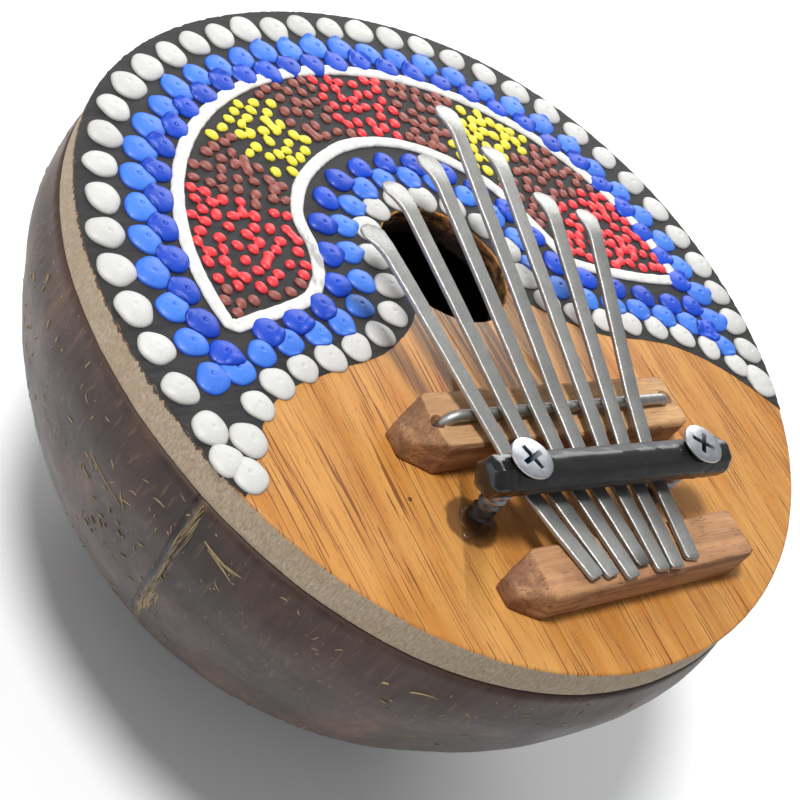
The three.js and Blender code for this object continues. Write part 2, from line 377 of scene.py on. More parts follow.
def shell_material():
    """Oiled husk-brown shell: cloudy, finely streaked, with a groove by the suture whose dark is painted
    shade, and one cracked line.
    """
    p = Paint("coconut shell", roughness=0.5, coat=0.06, specular=0.35)
    x, y, z = p.xyz
    angle = p.math("ARCTAN2", y, x)
    cloud = p.noise((24, 24, 18), detail=4)
    colour = p.blend(p.between(cloud, 0.34, 0.68), rgb(44, 31, 27), rgb(76, 54, 45))
    warm = p.noise((15, 15, 22), detail=2)
    colour = p.blend(p.math("MULTIPLY", p.between(warm, 0.56, 0.74), 0.7), colour, rgb(116, 80, 60))
    grain = p.noise((1.4, 1.4, 7), detail=4, roughness=0.65)
    colour = p.blend(p.math("MULTIPLY", p.between(grain, 0.3, 0.72), 0.5), colour, rgb(34, 24, 22))
    pale = p.between(p.noise((0.9, 0.9, 6), detail=2), 0.6, 0.7)
    colour = p.blend(p.math("MULTIPLY", pale, 0.16), colour, rgb(150, 122, 92))
    speck = p.between(p.noise((0.5, 0.5, 0.8), detail=1), 0.72, 0.78)
    gate = p.between(p.noise((9, 9, 9), detail=1), 0.42, 0.58)
    colour = p.blend(p.math("MULTIPLY", p.math("MULTIPLY", speck, gate), 0.7), colour, rgb(158, 132, 96))
    # The suture: a groove on one side of its crest, painted near-black as shade, and a paler, fibrous skin
    # over it.
    off = p.math("MULTIPLY", p.math("SUBTRACT", angle, RIDGE_ANGLE), RIDGE["radius"])
    sway = p.math("MULTIPLY", p.math("SINE", p.math("DIVIDE", z, RIDGE["wave"])), RIDGE["sway"])
    off = p.math("SUBTRACT", off, sway)
    below = p.between(z, RIDGE["lowest"] - 8, RIDGE["lowest"] + 2)
    groove = p.math("MULTIPLY", p.between(off, -1.7, -1.1), p.between(off, -0.3, -0.8))
    groove = p.math("MULTIPLY", p.math("MULTIPLY", groove, below), p.between(p.noise((2, 2, 5)), 0.32, 0.5))
    skin = p.math("MULTIPLY", p.between(p.math("ABSOLUTE", off), 1.0, 0.2), below)
    skin = p.math("MULTIPLY", skin, p.between(p.noise((0.5, 0.5, 6), detail=3), 0.42, 0.6))
    colour = p.blend(p.math("MULTIPLY", skin, 0.7), colour, rgb(140, 118, 86))
    # Painted shade: the groove is blended toward near-black.
    colour = p.blend(p.math("MULTIPLY", groove, 0.9), colour, rgb(20, 14, 12))
    # A hairline crack that runs level for a short way.
    level = p.math("SUBTRACT", z, p.scale(p.noise((6, 6, 6), detail=2), 42.2, 44.4))
    crack = p.between(p.math("ABSOLUTE", level), 0.32, 0.12)
    crack = p.math("MULTIPLY", crack, p.between(p.noise((1.3, 1.3, 9), detail=2), 0.44, 0.5))
    span = p.math("MULTIPLY", p.between(angle, -2.99, -2.96), p.between(angle, -2.81, -2.84))
    crack = p.math("MULTIPLY", crack, span)
    colour = p.blend(p.math("MULTIPLY", crack, 0.95), colour, rgb(14, 10, 9))
    sawn = p.between(z, BOARD_BOTTOM - 0.8, BOARD_BOTTOM - 0.2)
    colour = p.blend(p.math("MULTIPLY", sawn, 0.7), colour, rgb(70, 50, 42))
    gloss = p.scale(p.noise((7, 7, 7), detail=3), 0.36, 0.62)
    low = p.bump(cloud, 1.2, 0.5)
    fine = p.bump(grain, 0.12, 0.6, under=low)
    cut = p.bump(p.math("SUBTRACT", 1.0, p.math("MAXIMUM", groove, crack)), 0.3, 0.8, under=fine)
    return p.finish(colour, gloss, cut)


def board_material():
    """Golden varnished wood with red-brown vessels along Y, and a raw grey-tan edge."""
    p = Paint("soundboard wood", roughness=0.45, coat=0.03, specular=0.35)
    x, y, z = p.xyz
    bend = p.math("MULTIPLY", p.math("SUBTRACT", p.noise((30, 60, 9), detail=2), 0.5), 4.0)
    bent = p.join(p.math("ADD", x, bend), y, z)
    tone = p.noise((4, 70, 5), detail=4, base=bent)
    colour = p.blend(p.between(tone, 0.3, 0.7), rgb(208, 150, 78), rgb(184, 120, 50))
    patch = p.noise((16, 30, 9), detail=2, base=bent)
    colour = p.blend(p.math("MULTIPLY", p.between(patch, 0.45, 0.75), 0.5), colour, rgb(214, 160, 92))
    broad = p.between(p.noise((2.2, 60, 3), detail=2, base=bent), 0.56, 0.68)
    colour = p.blend(p.math("MULTIPLY", broad, 0.2), colour, rgb(164, 102, 46))
    fine = p.noise((0.24, 9, 1), detail=3, roughness=0.6, base=bent)
    colour = p.blend(p.math("MULTIPLY", p.between(fine, 0.42, 0.7), 0.24), colour, rgb(156, 98, 44))
    vessel = p.noise((0.22, 12, 2), detail=1, roughness=0.35, base=bent)
    crowd = p.between(p.noise((6, 30, 5), detail=1, base=bent), 0.3, 0.55)
    line = p.math("MULTIPLY", p.between(vessel, 0.6, 0.64), p.scale(crowd, 0.3, 1.0))
    colour = p.blend(p.math("MULTIPLY", line, 0.85), colour, rgb(112, 56, 24))
    pore = p.between(p.noise((0.2, 2.2, 1), detail=1, base=bent), 0.66, 0.73)
    colour = p.blend(p.math("MULTIPLY", pore, 0.55), colour, rgb(112, 64, 30))
    # Grey-brown heartwood streaks between the hole and the front bridge.
    stripe = p.between(p.noise((1.3, 50, 3), detail=2, base=bent), 0.44, 0.54)
    inside = p.math("MULTIPLY", p.between(x, -16.5, -13.0), p.between(x, 9.0, 3.0))
    inside = p.math("MULTIPLY", inside, p.math("MULTIPLY", p.between(y, 6.0, -2.0), p.between(y, -36, -24)))
    colour = p.blend(p.math("MULTIPLY", p.math("MULTIPLY", stripe, inside), 0.85), colour, rgb(100, 68, 40))
    # The raw edge, with paint drawn over its upper arris where the face is painted.
    ragged = p.noise((1.6, 1.6, 3), detail=4, roughness=0.7)
    edge = p.between(p.math("MULTIPLY_ADD", ragged, 0.55, z), BOARD_TOP + 0.05, BOARD_TOP - 0.15)
    sawn = p.between(p.noise((0.32, 0.32, 0.9), detail=5, roughness=0.7), 0.3, 0.7)
    raw = p.blend(sawn, rgb(182, 164, 141), rgb(144, 128, 107))
    raw = p.blend(p.math("MULTIPLY", p.between(p.noise((0.5, 0.5, 0.4), detail=2), 0.62, 0.74), 0.5),
                  raw, rgb(84, 70, 56))
    raw = p.blend(p.math("MULTIPLY", p.between(p.noise((6, 6, 1.6), detail=2), 0.45, 0.65), 0.3),
                  raw, rgb(156, 132, 102))
    radius = p.vector("LENGTH", p.join(x, y, 0.0), (0, 0, 0))
    at_rim = p.between(radius, 50.0, 55.0)
    colour = p.blend(p.math("MULTIPLY", edge, at_rim), colour, raw)
    ticks = p.math("ADD", z, p.math("MULTIPLY", p.noise((0.9, 0.9, 5), detail=4, roughness=0.75), 2.6))
    painted = p.between(y, -30.0, -27.0)
    smear = p.math("MULTIPLY", p.between(ticks, BOARD_TOP + 0.75, BOARD_TOP + 0.95), painted)
    smear = p.math("MULTIPLY", smear, p.between(z, BOARD_TOP - 0.02, BOARD_TOP - 0.1))
    colour = p.blend(p.math("MULTIPLY", p.math("MULTIPLY", smear, at_rim), 0.93), colour, rgb(48, 47, 48))
    # The wall of the sound hole: brown fibres at the top, with painted shade that darkens it further down.
    wall = p.between(p.math("MULTIPLY_ADD", ragged, 0.5, z), BOARD_TOP + 0.05, BOARD_TOP - 0.25)
    in_hole = p.math("SUBTRACT", 1.0, at_rim)
    bore = p.between(p.noise((1.6, 1.6, 0.7), detail=4), 0.35, 0.65)
    bore = p.blend(bore, rgb(160, 114, 70), rgb(62, 40, 26))
    # Painted shade: the wall turns near-black deeper in the hole.
    bore = p.blend(p.between(p.math("MULTIPLY_ADD", ragged, 2.0, z), BOARD_TOP - 0.4, BOARD_TOP - 2.6),
                   bore, rgb(40, 28, 22))
    colour = p.blend(p.math("MULTIPLY", wall, in_hole), colour, bore)
    # A dark amber-brown patch round the foot of the left screw.
    screw_patch_x = p.math("ADD", x, p.math("MULTIPLY", p.noise((2, 2, 2), detail=2), 1.6))
    stain = p.vector("LENGTH", p.join(p.math("ADD", screw_patch_x, 23.6), p.math("ADD", y, 38.4), 0.0), (0, 0, 0))
    stain = p.math("MULTIPLY", p.between(stain, 4.6, 3.8), 0.8)
    colour = p.blend(stain, colour, rgb(78, 48, 22))
    gloss = p.scale(p.noise((4, 30, 4), detail=3), 0.34, 0.55)
    gloss = p.math("MAXIMUM", gloss, p.math("MULTIPLY", edge, 0.85))
    groove = p.bump(p.math("SUBTRACT", 1.0, p.math("MAXIMUM", line, pore)), 0.05, 0.6)
    rough = p.bump(p.noise((0.8, 3, 0.5), detail=4), 0.08, 0.5, under=groove)
    return p.finish(colour, gloss, rough)


def raw_wood_material(name, dark, light, top, shift):
    """Raw sawn wood with its grain along X; faces that look up are painted lighter, as painted light."""
    p = Paint(name, roughness=0.8)
    moved = p.vector("ADD", p.place, (shift, 2 * shift, 0))
    band = p.noise((38, 3.0, 2.6), detail=3, base=moved, distortion=0.3)
    colour = p.blend(p.between(band, 0.36, 0.62), light, dark)
    streak = p.noise((30, 1.0, 0.8), detail=3, base=moved, distortion=0.4)
    colour = p.blend(p.math("MULTIPLY", p.between(streak, 0.5, 0.66), 0.5), colour, rgb(96, 64, 42))
    stain = p.noise((9, 6, 5), detail=3, base=moved)
    colour = p.blend(p.math("MULTIPLY", p.between(stain, 0.52, 0.7), 0.6), colour, rgb(92, 62, 40))
    pale = p.noise((6, 4, 5), detail=2, base=p.vector("ADD", moved, (40, 17, 5)))
    colour = p.blend(p.math("MULTIPLY", p.between(pale, 0.56, 0.72), 0.5), colour, rgb(196, 154, 110))
    fibre = p.noise((7, 0.34, 0.34), detail=4, roughness=0.7, base=moved)
    colour = p.blend(p.math("MULTIPLY", p.between(fibre, 0.5, 0.68), 0.55), colour, rgb(84, 54, 34))
    pore = p.between(p.noise((1.9, 0.28, 0.28), detail=1, base=moved), 0.68, 0.75)
    colour = p.blend(p.math("MULTIPLY", pore, 0.75), colour, rgb(56, 36, 24))
    facing = p.split(p.nodes.new("ShaderNodeNewGeometry").outputs["Normal"])
    across = p.math("ABSOLUTE", facing[0])
    # Painted light: faces that look up are blended toward the lighter top colour.
    colour = p.blend(p.math("MULTIPLY", p.between(facing[2], 0.75, 0.96), 0.4), colour, top)
    colour = p.blend(p.math("MULTIPLY", p.between(across, 0.45, 0.85), 0.5), colour, rgb(112, 78, 58))
    gloss = p.scale(fibre, 0.62, 0.9)
    return p.finish(colour, gloss, p.bump(p.math("SUBTRACT", fibre, pore), 0.16, 0.8))


def ground_material():
    p = Paint("charcoal paint", roughness=0.7, specular=0.3)
    brush = p.noise((9, 1.3, 2), detail=4, roughness=0.65)
    colour = p.blend(p.between(brush, 0.3, 0.7), rgb(27, 26, 27), rgb(50, 48, 49))
    dust = p.between(p.noise((0.35, 0.35, 0.35), detail=1), 0.72, 0.8)
    colour = p.blend(p.math("MULTIPLY", dust, 0.35), colour, rgb(108, 104, 100))
    tooth = p.noise((0.5, 0.5, 0.5), detail=3)
    tooth = p.bump(tooth, 0.06, 0.7)
    return p.finish(colour, p.scale(brush, 0.55, 0.75), p.bump(brush, 0.08, 0.8, under=tooth))


def dot_material(name, deep_tone_and_shade, full, sheen):
    """Thick paint with painted shade: deeper in colour round the mark in the middle and at the foot of each
    dot.
    """
    p = Paint(name, roughness=0.5, coat=sheen, specular=0.4)
    height = p.attribute("dot_shade_height")
    tone = p.attribute("dot_tone")
    # Painted shade: the low parts of each dot, its foot and its middle mark, take the deep colour.
    colour = p.blend(p.between(height, 0.0, 0.55), deep_tone_and_shade, full)
    colour = p.blend(p.math("MULTIPLY", tone, 0.35), colour, deep_tone_and_shade)
    mottle = p.noise((0.9, 0.9, 0.9), detail=3)
    colour = p.blend(p.math("MULTIPLY", p.between(mottle, 0.5, 0.75), 0.25), colour, deep_tone_and_shade)
    skin = p.noise((0.5, 0.5, 0.5), detail=3)
    wrinkle = p.noise((2.2, 2.2, 2.2), detail=2)
    folds = p.bump(wrinkle, 0.25, 0.5, under=p.bump(skin, 0.03, 0.6))
    return p.finish(colour, p.scale(mottle, 0.38, 0.6), folds)


def line_material():
    p = Paint("white line paint", roughness=0.5)
    drag = p.noise((1.6, 1.6, 1.6), detail=4, roughness=0.7)
    colour = p.blend(p.between(drag, 0.35, 0.7), rgb(226, 225, 221), rgb(204, 202, 197))
    x, y, _ = p.xyz
    # Worn bare at the inner left shoulder.
    worn = p.math("MULTIPLY", p.between(x, -24.5, -26.0), p.between(x, -31.5, -30.0))
    worn = p.math("MULTIPLY", worn, p.math("MULTIPLY", p.between(y, 2.0, 4.0), p.between(y, 15.5, 12.5)))
    scrape = p.between(p.noise((1.1, 3.2, 1), detail=3, roughness=0.6), 0.42, 0.66)
    colour = p.blend(p.math("MULTIPLY", p.math("MULTIPLY", worn, scrape), 0.75), colour, rgb(138, 138, 136))
    return p.finish(colour, p.scale(drag, 0.4, 0.65), p.bump(drag, 0.06, 0.6))


def steel_material():
    """Flattened spring steel, ground along its length."""
    p = Paint("spring steel", roughness=0.45, metallic=1.0)
    along = p.noise((0.16, 5, 0.5), detail=4, roughness=0.7)
    grain = p.noise((0.22, 0.4, 0.22), detail=3, roughness=0.7)
    cloud = p.noise((2.5, 6, 3), detail=3)
    colour = p.blend(cloud, rgb(160, 160, 157), rgb(190, 189, 185))
    colour = p.blend(p.math("MULTIPLY", p.between(along, 0.5, 0.75), 0.3), colour, rgb(122, 122, 120))
    colour = p.blend(p.math("MULTIPLY", p.between(grain, 0.48, 0.7), 0.35), colour, rgb(112, 110, 106))
    pit = p.between(p.noise((0.5, 0.7, 0.5), detail=2), 0.68, 0.76)
    colour = p.blend(p.math("MULTIPLY", pit, 0.4), colour, rgb(110, 106, 102))
    burnt = p.attribute("tail_end")
    colour = p.blend(p.math("MULTIPLY", burnt, p.scale(grain, 0.5, 1.0)), colour, rgb(78, 70, 64))
    gloss = p.scale(grain, 0.34, 0.6)
    rough = p.bump(grain, 0.05, 0.8, under=p.bump(cloud, 0.15, 0.5))
    return p.finish(colour, gloss, p.bump(along, 0.03, 0.7, under=rough))


def zinc_material():
    """Bright plated heads; the cross recess is painted dark as shade, and the lower shank is painted dark
    brown as the pressure bar's shadow.
    """
    p = Paint("zinc plate", roughness=0.3, metallic=1.0)
    cloud = p.noise((1.2, 1.2, 1.2), detail=3)
    colour = p.blend(cloud, rgb(176, 178, 184), rgb(208, 210, 212))
    scratch = p.between(p.noise((0.12, 2.2, 1), detail=3), 0.62, 0.7)
    colour = p.blend(p.math("MULTIPLY", scratch, 0.4), colour, rgb(150, 152, 158))
    # Painted shade: the cross recess is coloured dark blue-grey.
    recess = p.attribute("recess")
    colour = p.blend(recess, colour, rgb(58, 78, 106))
    # Painted shadow: the shank is darkened toward the board, with a little mottle, where the bar's shadow
    # falls on it.
    stain = p.attribute("shank_painted_shadow")
    shadow_mottle = p.noise((0.7, 0.7, 0.5), detail=3)
    colour = p.blend(p.math("MULTIPLY", stain, p.scale(shadow_mottle, 0.75, 1.0)), colour, rgb(58, 46, 38))
    gloss = p.math("ADD", p.scale(cloud, 0.24, 0.44), p.math("MULTIPLY", stain, 0.15))
    return p.finish(colour, gloss, p.bump(cloud, 0.04, 0.5))


def lacquer_material():
    p = Paint("black lacquer", roughness=0.4, coat=0.3)
    cloud = p.noise((3, 2, 2), detail=3)
    colour = p.blend(cloud, rgb(9, 9, 10), rgb(24, 24, 25))
    dust = p.between(p.noise((0.3, 0.3, 0.3), detail=1), 0.74, 0.8)
    colour = p.blend(p.math("MULTIPLY", dust, 0.4), colour, rgb(96, 94, 92))
    orange_peel = p.noise((0.9, 0.7, 0.7), detail=2)
    melted = p.attribute("melted")
    gloss = p.math("SUBTRACT", p.scale(cloud, 0.34, 0.58), p.math("MULTIPLY", melted, 0.24))
    return p.finish(colour, gloss, p.bump(orange_peel, 0.06, 0.6))


def fibre_material():
    p = Paint("coconut fibre", roughness=0.75)
    strand = p.noise((0.4, 0.4, 1.2), detail=3)
    colour = p.blend(strand, rgb(112, 94, 64), rgb(164, 144, 106))
    return p.finish(colour, None, p.bump(strand, 0.08, 0.6))


def glue_material():
    p = Paint("dried glue", roughness=0.35, coat=0.15)
    cloud = p.noise((1.6, 1.6, 1), detail=3)
    colour = p.blend(cloud, rgb(96, 60, 28), rgb(72, 46, 22))
    return p.finish(colour, p.scale(cloud, 0.25, 0.45), p.bump(cloud, 0.08, 0.7))


# ---- Camera, light and floor ----

VIEW = {"azimuth": 31.36, "elevation": -38.99, "roll": 40.0, "distance": 226.7, "lens": 72.23}
VIEW_TARGET = (-25.08, -17.52, 0.0)


def camera():
    azimuth, elevation, roll = (math.radians(VIEW[k]) for k in ("azimuth", "elevation", "roll"))
    forward = Vector((math.cos(elevation) * math.cos(azimuth),
                      math.cos(elevation) * math.sin(azimuth), math.sin(elevation)))
    level = forward.cross(Vector((0, 0, 1))).normalized()
    upright = level.cross(forward)
    right = math.cos(roll) * level + math.sin(roll) * upright
    up = right.cross(forward)
    turn = Matrix((right, up, -forward)).transposed()
    data = bpy.data.cameras.new("camera")
    data.lens = VIEW["lens"]
    data.sensor_width = 36
    data.clip_start = 0.01
    obj = bpy.data.objects.new("camera", data)
    target = (Vector(VIEW_TARGET) + Vector(FACE)) * MM
    obj.matrix_world = Matrix.Translation(target - forward * VIEW["distance"] * MM) @ turn.to_4x4()
    scene.collection.objects.link(obj)
    scene.camera = obj


def area_light(name, direction, distance, size, power):
    data = bpy.data.lights.new(name, "AREA")
    data.shape = "DISK"
    data.size = size
    data.energy = power
    obj = bpy.data.objects.new(name, data)
    aim = Vector(direction).normalized()
    obj.location = Vector(FACE) * MM + aim * distance
    obj.rotation_euler = aim.to_track_quat("Z", "Y").to_euler()
    scene.collection.objects.link(obj)


def studio():
    scene.view_settings.view_transform = "Standard"
    world = bpy.data.worlds.new("studio")
    world.use_nodes = True
    world.node_tree.nodes["Background"].inputs["Color"].default_value = (0.95, 0.97, 1.0, 1.0)
    world.node_tree.nodes["Background"].inputs["Strength"].default_value = 0.34
    scene.world = world
    area_light("key", (-0.38, 0.10, 1.0), 0.9, 0.2, 7.6)
    area_light("side", (-1.0, 0.35, 0.2), 0.9, 0.7, 1.3)
    area_light("far side", (0.75, 0.75, 0.5), 0.7, 0.5, 2.6)
    p = Paint("floor", roughness=0.7)
    wash = p.noise((90, 90, 90), detail=2)
    floor_paint = p.finish(p.blend(wash, (0.92, 0.92, 0.92, 1), (0.95, 0.95, 0.95, 1)))
    half = 1500
    corners = [(-half, -half, 0), (half, -half, 0), (half, half, 0), (-half, half, 0)]
    piece("floor", corners, [(0, 1, 2, 3)], floor_paint, origin=np.zeros(3), smooth=False)


# ---- Shell ----

RIDGE_ANGLE = math.radians(-156.0)
# The suture wanders by sway over a wave of its height; radius turns its angle into millimetres.
RIDGE = {"height": 0.55, "half_width": 0.9, "lowest": 34.0, "sway": 0.5, "wave": 7.0, "radius": 65.0}
SHELL_WALL = 3.5


class ShellShape:
    """The outer surface, as a smooth profile through the CAD node's rings with the rim's out-of-round."""

    def __init__(self):
        points = node_points("coconut_shell")
        node = frame["nodes"]["coconut_shell"]
        self.rim = points[:, 2].max()
        self.mean_edge = np.mean(board_edge(np.linspace(-math.pi, math.pi, 361)))
        rings = []
        for height in sorted({round(float(z), 2) for z in points[:, 2]}):
            ring = points[np.abs(points[:, 2] - height) < 0.02]
            radius = np.hypot(ring[:, 0], ring[:, 1])
            level = min(max(height, 0.05), self.rim - 0.05)
            start = Vector((200, 1, level)) * MM
            hit, place, _, _ = node.ray_cast(start, Vector((-1, 0, 0)))
            # A ring on the inner face lies well inside the point where a ray from outside lands.
            fair = radius / self.growth(np.arctan2(ring[:, 1], ring[:, 0]), height)
            reach = place.to_2d().length / MM / self.growth(math.atan2(place.y, place.x), height)
            if hit and fair.max() > reach - 1.5:
                rings.append((fair[fair > fair.max() - 1.5].mean(), height))
        self.profile = through(rings, step=0.25)

    def growth(self, angle, height):
        return 1 + (board_edge(angle) / self.mean_edge - 1) * height / self.rim

    def radius(self, angle, height):
        return np.interp(height, self.profile[:, 1], self.profile[:, 0]) * self.growth(angle, height)

    def point(self, angle, height, lift=0.0):
        """A point on the surface, or lifted square to it."""
        step = 0.5
        low = max(0.0, height - step)
        high = min(self.rim, height + step)
        slope = (self.radius(angle, high) - self.radius(angle, low)) / (high - low)
        out = lift / math.hypot(1, slope)
        reach = self.radius(angle, height) + out
        return reach * math.cos(angle), reach * math.sin(angle), height - out * slope


def suture_sway(height):
    return RIDGE["sway"] * math.sin(height / RIDGE["wave"])


def ridge_lift(angle, height, radius):
    """The raised suture that runs down one side."""
    off = (angle - RIDGE_ANGLE) * radius - suture_sway(height)
    if abs(off) > 4 * RIDGE["half_width"]:
        return 0.0
    fade = min(1.0, max(0.0, (height - RIDGE["lowest"] + 12) / 12))
    rough = 0.75 + 0.5 * wander(off, 0, height, 3.0)
    return RIDGE["height"] * rough * fade * math.exp(-(off / RIDGE["half_width"]) ** 2)


def shell(shape, material):
    """Outer skin with lumps and the suture ridge, sawn rim and smooth inside, as one closed body."""
    columns = 300
    rows = 60
    points = []
    rim_turn = math.pi / 2
    heights = [shape.rim * (1 - math.cos(rim_turn * i / rows)) for i in range(rows + 1)]
    for height in heights:
        for j in range(columns):
            angle = -math.pi + TAU * j / columns
            radius = shape.radius(angle, height)
            lump = 0.22 * wander(radius * math.cos(angle), radius * math.sin(angle), height, 14, 3)
            away = min(1.0, max(0.0, height - 0.5) / 4) * min(1.0, max(0.0, shape.rim - height) / 3)
            lift = lump * away + ridge_lift(angle, height, radius) * away
            points.append(shape.point(angle, height, lift))
    inner_rows = 24
    for i in range(inner_rows):
        height = shape.rim * (1 - math.cos(rim_turn * (1 - i / inner_rows)))
        for j in range(columns):
            angle = -math.pi + TAU * j / columns
            x, y, z = shape.point(angle, height, -SHELL_WALL)
            points.append((x, y, shape.rim if i == 0 else min(z, shape.rim - 0.05)))
    faces = grid_faces(rows + 1 + inner_rows, columns)
    foot = len(points)
    points.append((0, 0, 0))
    top = len(points)
    points.append((0, 0, SHELL_WALL))
    last = (rows + inner_rows) * columns
    for j in range(columns):
        k = (j + 1) % columns
        faces.append((foot, k, j))
        faces.append((top, last + j, last + k))
    obj = face_outward(piece("shell_body", points, faces, material, origin=np.zeros(3)))
    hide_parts("coconut_shell")
    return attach(obj, "sound_box")


def sliver(shape, angle, height, heading, length, width, curl, lift):
    """One flat fibre on the shell: a tapered strip that follows the surface. heading 0 runs down."""
    steps = 6
    upper = []
    for i in range(steps + 1):
        t = i / steps
        along = (t - 0.5) * length
        bend = curl * (t - 0.5) ** 2
        half = 0.5 * width * math.sin(math.pi * min(max(t, 0.06), 0.94)) ** 0.6
        for side in (-1, 1):
            across = bend + side * half
            down = along * math.cos(heading) - across * math.sin(heading)
            sideways = along * math.sin(heading) + across * math.cos(heading)
            h = min(max(height - down, 1.0), shape.rim - 0.4)
            a = angle + sideways / shape.radius(angle, h)
            raised = lift * math.sin(math.pi * t) + 0.03 + ridge_lift(a, h, RIDGE["radius"])
            upper.append(shape.point(a, h, raised))
    count = len(upper)
    lower = []
    for point in upper:
        sink = 1 - 0.5 / max(20.0, math.hypot(point[0], point[1]))
        lower.append((point[0] * sink, point[1] * sink, point[2]))
    faces = []
    for i in range(steps):
        a = 2 * i
        faces.append((a, a + 1, a + 3, a + 2))
        faces.append((count + a, count + a + 2, count + a + 3, count + a + 1))
        faces.append((a, a + 2, count + a + 2, count + a))
        faces.append((a + 1, count + a + 1, count + a + 3, a + 3))
    faces.append((0, count, count + 1, 1))
    faces.append((count - 2, count - 1, 2 * count - 1, 2 * count - 2))
    return upper + lower, faces


# Single long fibres: (degrees, height, heading in degrees, length, width, curl).
SINGLE_FIBRES = [
    (-168.0, 56.4, 80, 8.0, 0.16, 0.6), (-164.6, 57.0, 40, 3.0, 0.34, 0.5),
    (-164.2, 57.6, 120, 2.4, 0.3, -0.4), (-151.0, 64.2, 84, 6.0, 0.5, 0.9),
    (-150.4, 63.6, 74, 5.4, 0.4, -0.7), (-148.8, 64.4, 96, 2.6, 0.3, 0.3),
    (-171.5, 52.5, 70, 2.2, 0.3, 0.8), (-160.5, 63.5, 100, 2.0, 0.24, -0.7),
]


def shell_fibres(shape, material):
    """Pale husk fibres left on the shell, with a thick streak of them along the suture."""
    rng = random.Random(11)
    points = []
    faces = []

    def add(part):
        start = len(points)
        points.extend(part[0])
        faces.extend(tuple(start + i for i in f) for f in part[1])

    for _ in range(1500):
        angle = rng.uniform(-math.pi, math.pi)
        height = rng.uniform(8, 67)
        heading = rng.gauss(0.9, 0.7) * rng.choice((-1, 1))
        long = rng.random() < 0.05
        length = rng.uniform(2.0, 4.0) if long else rng.uniform(0.3, 1.5)
        width = rng.uniform(0.08, 0.16) if long else rng.uniform(0.08, 0.22)
        add(sliver(shape, angle, height, heading, length, width, rng.uniform(-0.6, 0.6) * length, 0.02))
    # Roots of fibre bundles: a few strands that fan out from one place.
    for _ in range(26):
        angle = rng.uniform(-math.pi, math.pi)
        height = rng.uniform(10, 62)
        heading = rng.uniform(0, TAU)
        for _ in range(rng.randint(4, 8)):
            add(sliver(shape, angle + rng.gauss(0, 0.014), height + rng.gauss(0, 0.9),
                       heading + rng.gauss(0, 0.35), rng.uniform(1.0, 2.6), rng.uniform(0.1, 0.22),
                       rng.uniform(-0.8, 0.8), 0.04))
    # The suture: fine strands along its crest, and a broad patch near the rim and at its lower end.
    suture = [(30, RIDGE["lowest"], 68, 0.14, 0.1), (8, 61, 67, 0.4, 0.2),
              (26, RIDGE["lowest"] + 4, 46, 0.6, 0.31)]
    for count, low, high, spread, width in suture:
        for _ in range(count):
            height = rng.uniform(low, high)
            across = rng.gauss(0, spread) + suture_sway(height)
            across += 0.6 if width > 0.3 else 0.0
            add(sliver(shape, RIDGE_ANGLE + across / RIDGE["radius"], height, rng.gauss(0, 0.06),
                       rng.uniform(1.8, 5.0), rng.uniform(0.5, 1.2) * width, rng.uniform(-0.2, 0.2), 0.05))
    for degrees, height, heading, length, width, curl in SINGLE_FIBRES:
        add(sliver(shape, math.radians(degrees), height, math.radians(heading), length,
                   0.7 * width, curl, 0.05))
    obj = face_outward(piece("shell_fibres", points, faces, material, origin=np.zeros(3)))
    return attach(obj, "sound_box")


# ---- Soundboard ----

HOLE = {"x": -0.7, "y": 7.0, "radius": 11.5}


def hole_edge(angle):
    """The hand-cut sound hole is a little uneven."""
    radius = HOLE["radius"] + 0.16 * math.sin(3 * angle + 0.6) + 0.1 * math.sin(5 * angle + 2)
    return HOLE["x"] + radius * math.cos(angle), HOLE["y"] + radius * math.sin(angle)


def soundboard(material):
    columns = 360
    thick = BOARD_TOP - BOARD_BOTTOM
    levels = [(0.45, 0.0), (0.16, 0.07), (0.03, 0.25), (0.0, 0.5)]
    levels += [(0.0, 0.5 + (thick - 1.0) * i / 6) for i in range(1, 6)]
    levels += [(0.0, thick - 0.5), (0.08, thick - 0.15), (0.3, thick)]
    points = []
    # Outer wall from the face down, then the hole's wall from the bottom up.
    for inset, depth in levels:
        for j in range(columns):
            angle = TAU * j / columns
            saw = 0.05 * wander(60 * angle, 0, 3 * depth, 1.4) + 0.07 * wander(60 * angle, 9, depth, 6)
            radius = board_edge(angle) - 0.06 - inset + saw
            points.append((radius * math.cos(angle), radius * math.sin(angle), -depth))
    for inset, depth in reversed(levels):
        for j in range(columns):
            angle = TAU * j / columns
            x, y = hole_edge(angle)
            chip = 0.22 * wander(12 * math.cos(angle), 12 * math.sin(angle), 2 * depth, 0.9)
            chip *= min(1.0, 0.3 + depth)
            grow = (inset + chip) / HOLE["radius"]
            points.append((x + (x - HOLE["x"]) * grow, y + (y - HOLE["y"]) * grow, -depth))
    rows = 2 * len(levels)
    faces = grid_faces(rows, columns)
    top = (rows - 1) * columns
    for j in range(columns):
        k = (j + 1) % columns
        faces.append((top + j, top + k, k, j))
    obj = face_outward(piece("board_body", points, faces, material))
    for side in ("left", "right"):
        low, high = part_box("screw_" + side)
        x = (low.x + high.x) / 2 / MM
        y = (low.y + high.y) / 2 / MM
        half = BOARD_TOP - BOARD_BOTTOM + 1
        pilot = lathe("pilot", [(0, -half), (1.95, -half), (1.95, 1), (0, 1)], 32, material,
                      origin=FACE + np.array([x, y, 0]))
        cut_away(obj, pilot)
    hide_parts("soundboard")
    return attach(obj, "sound_box")


# ---- Paint on the face ----

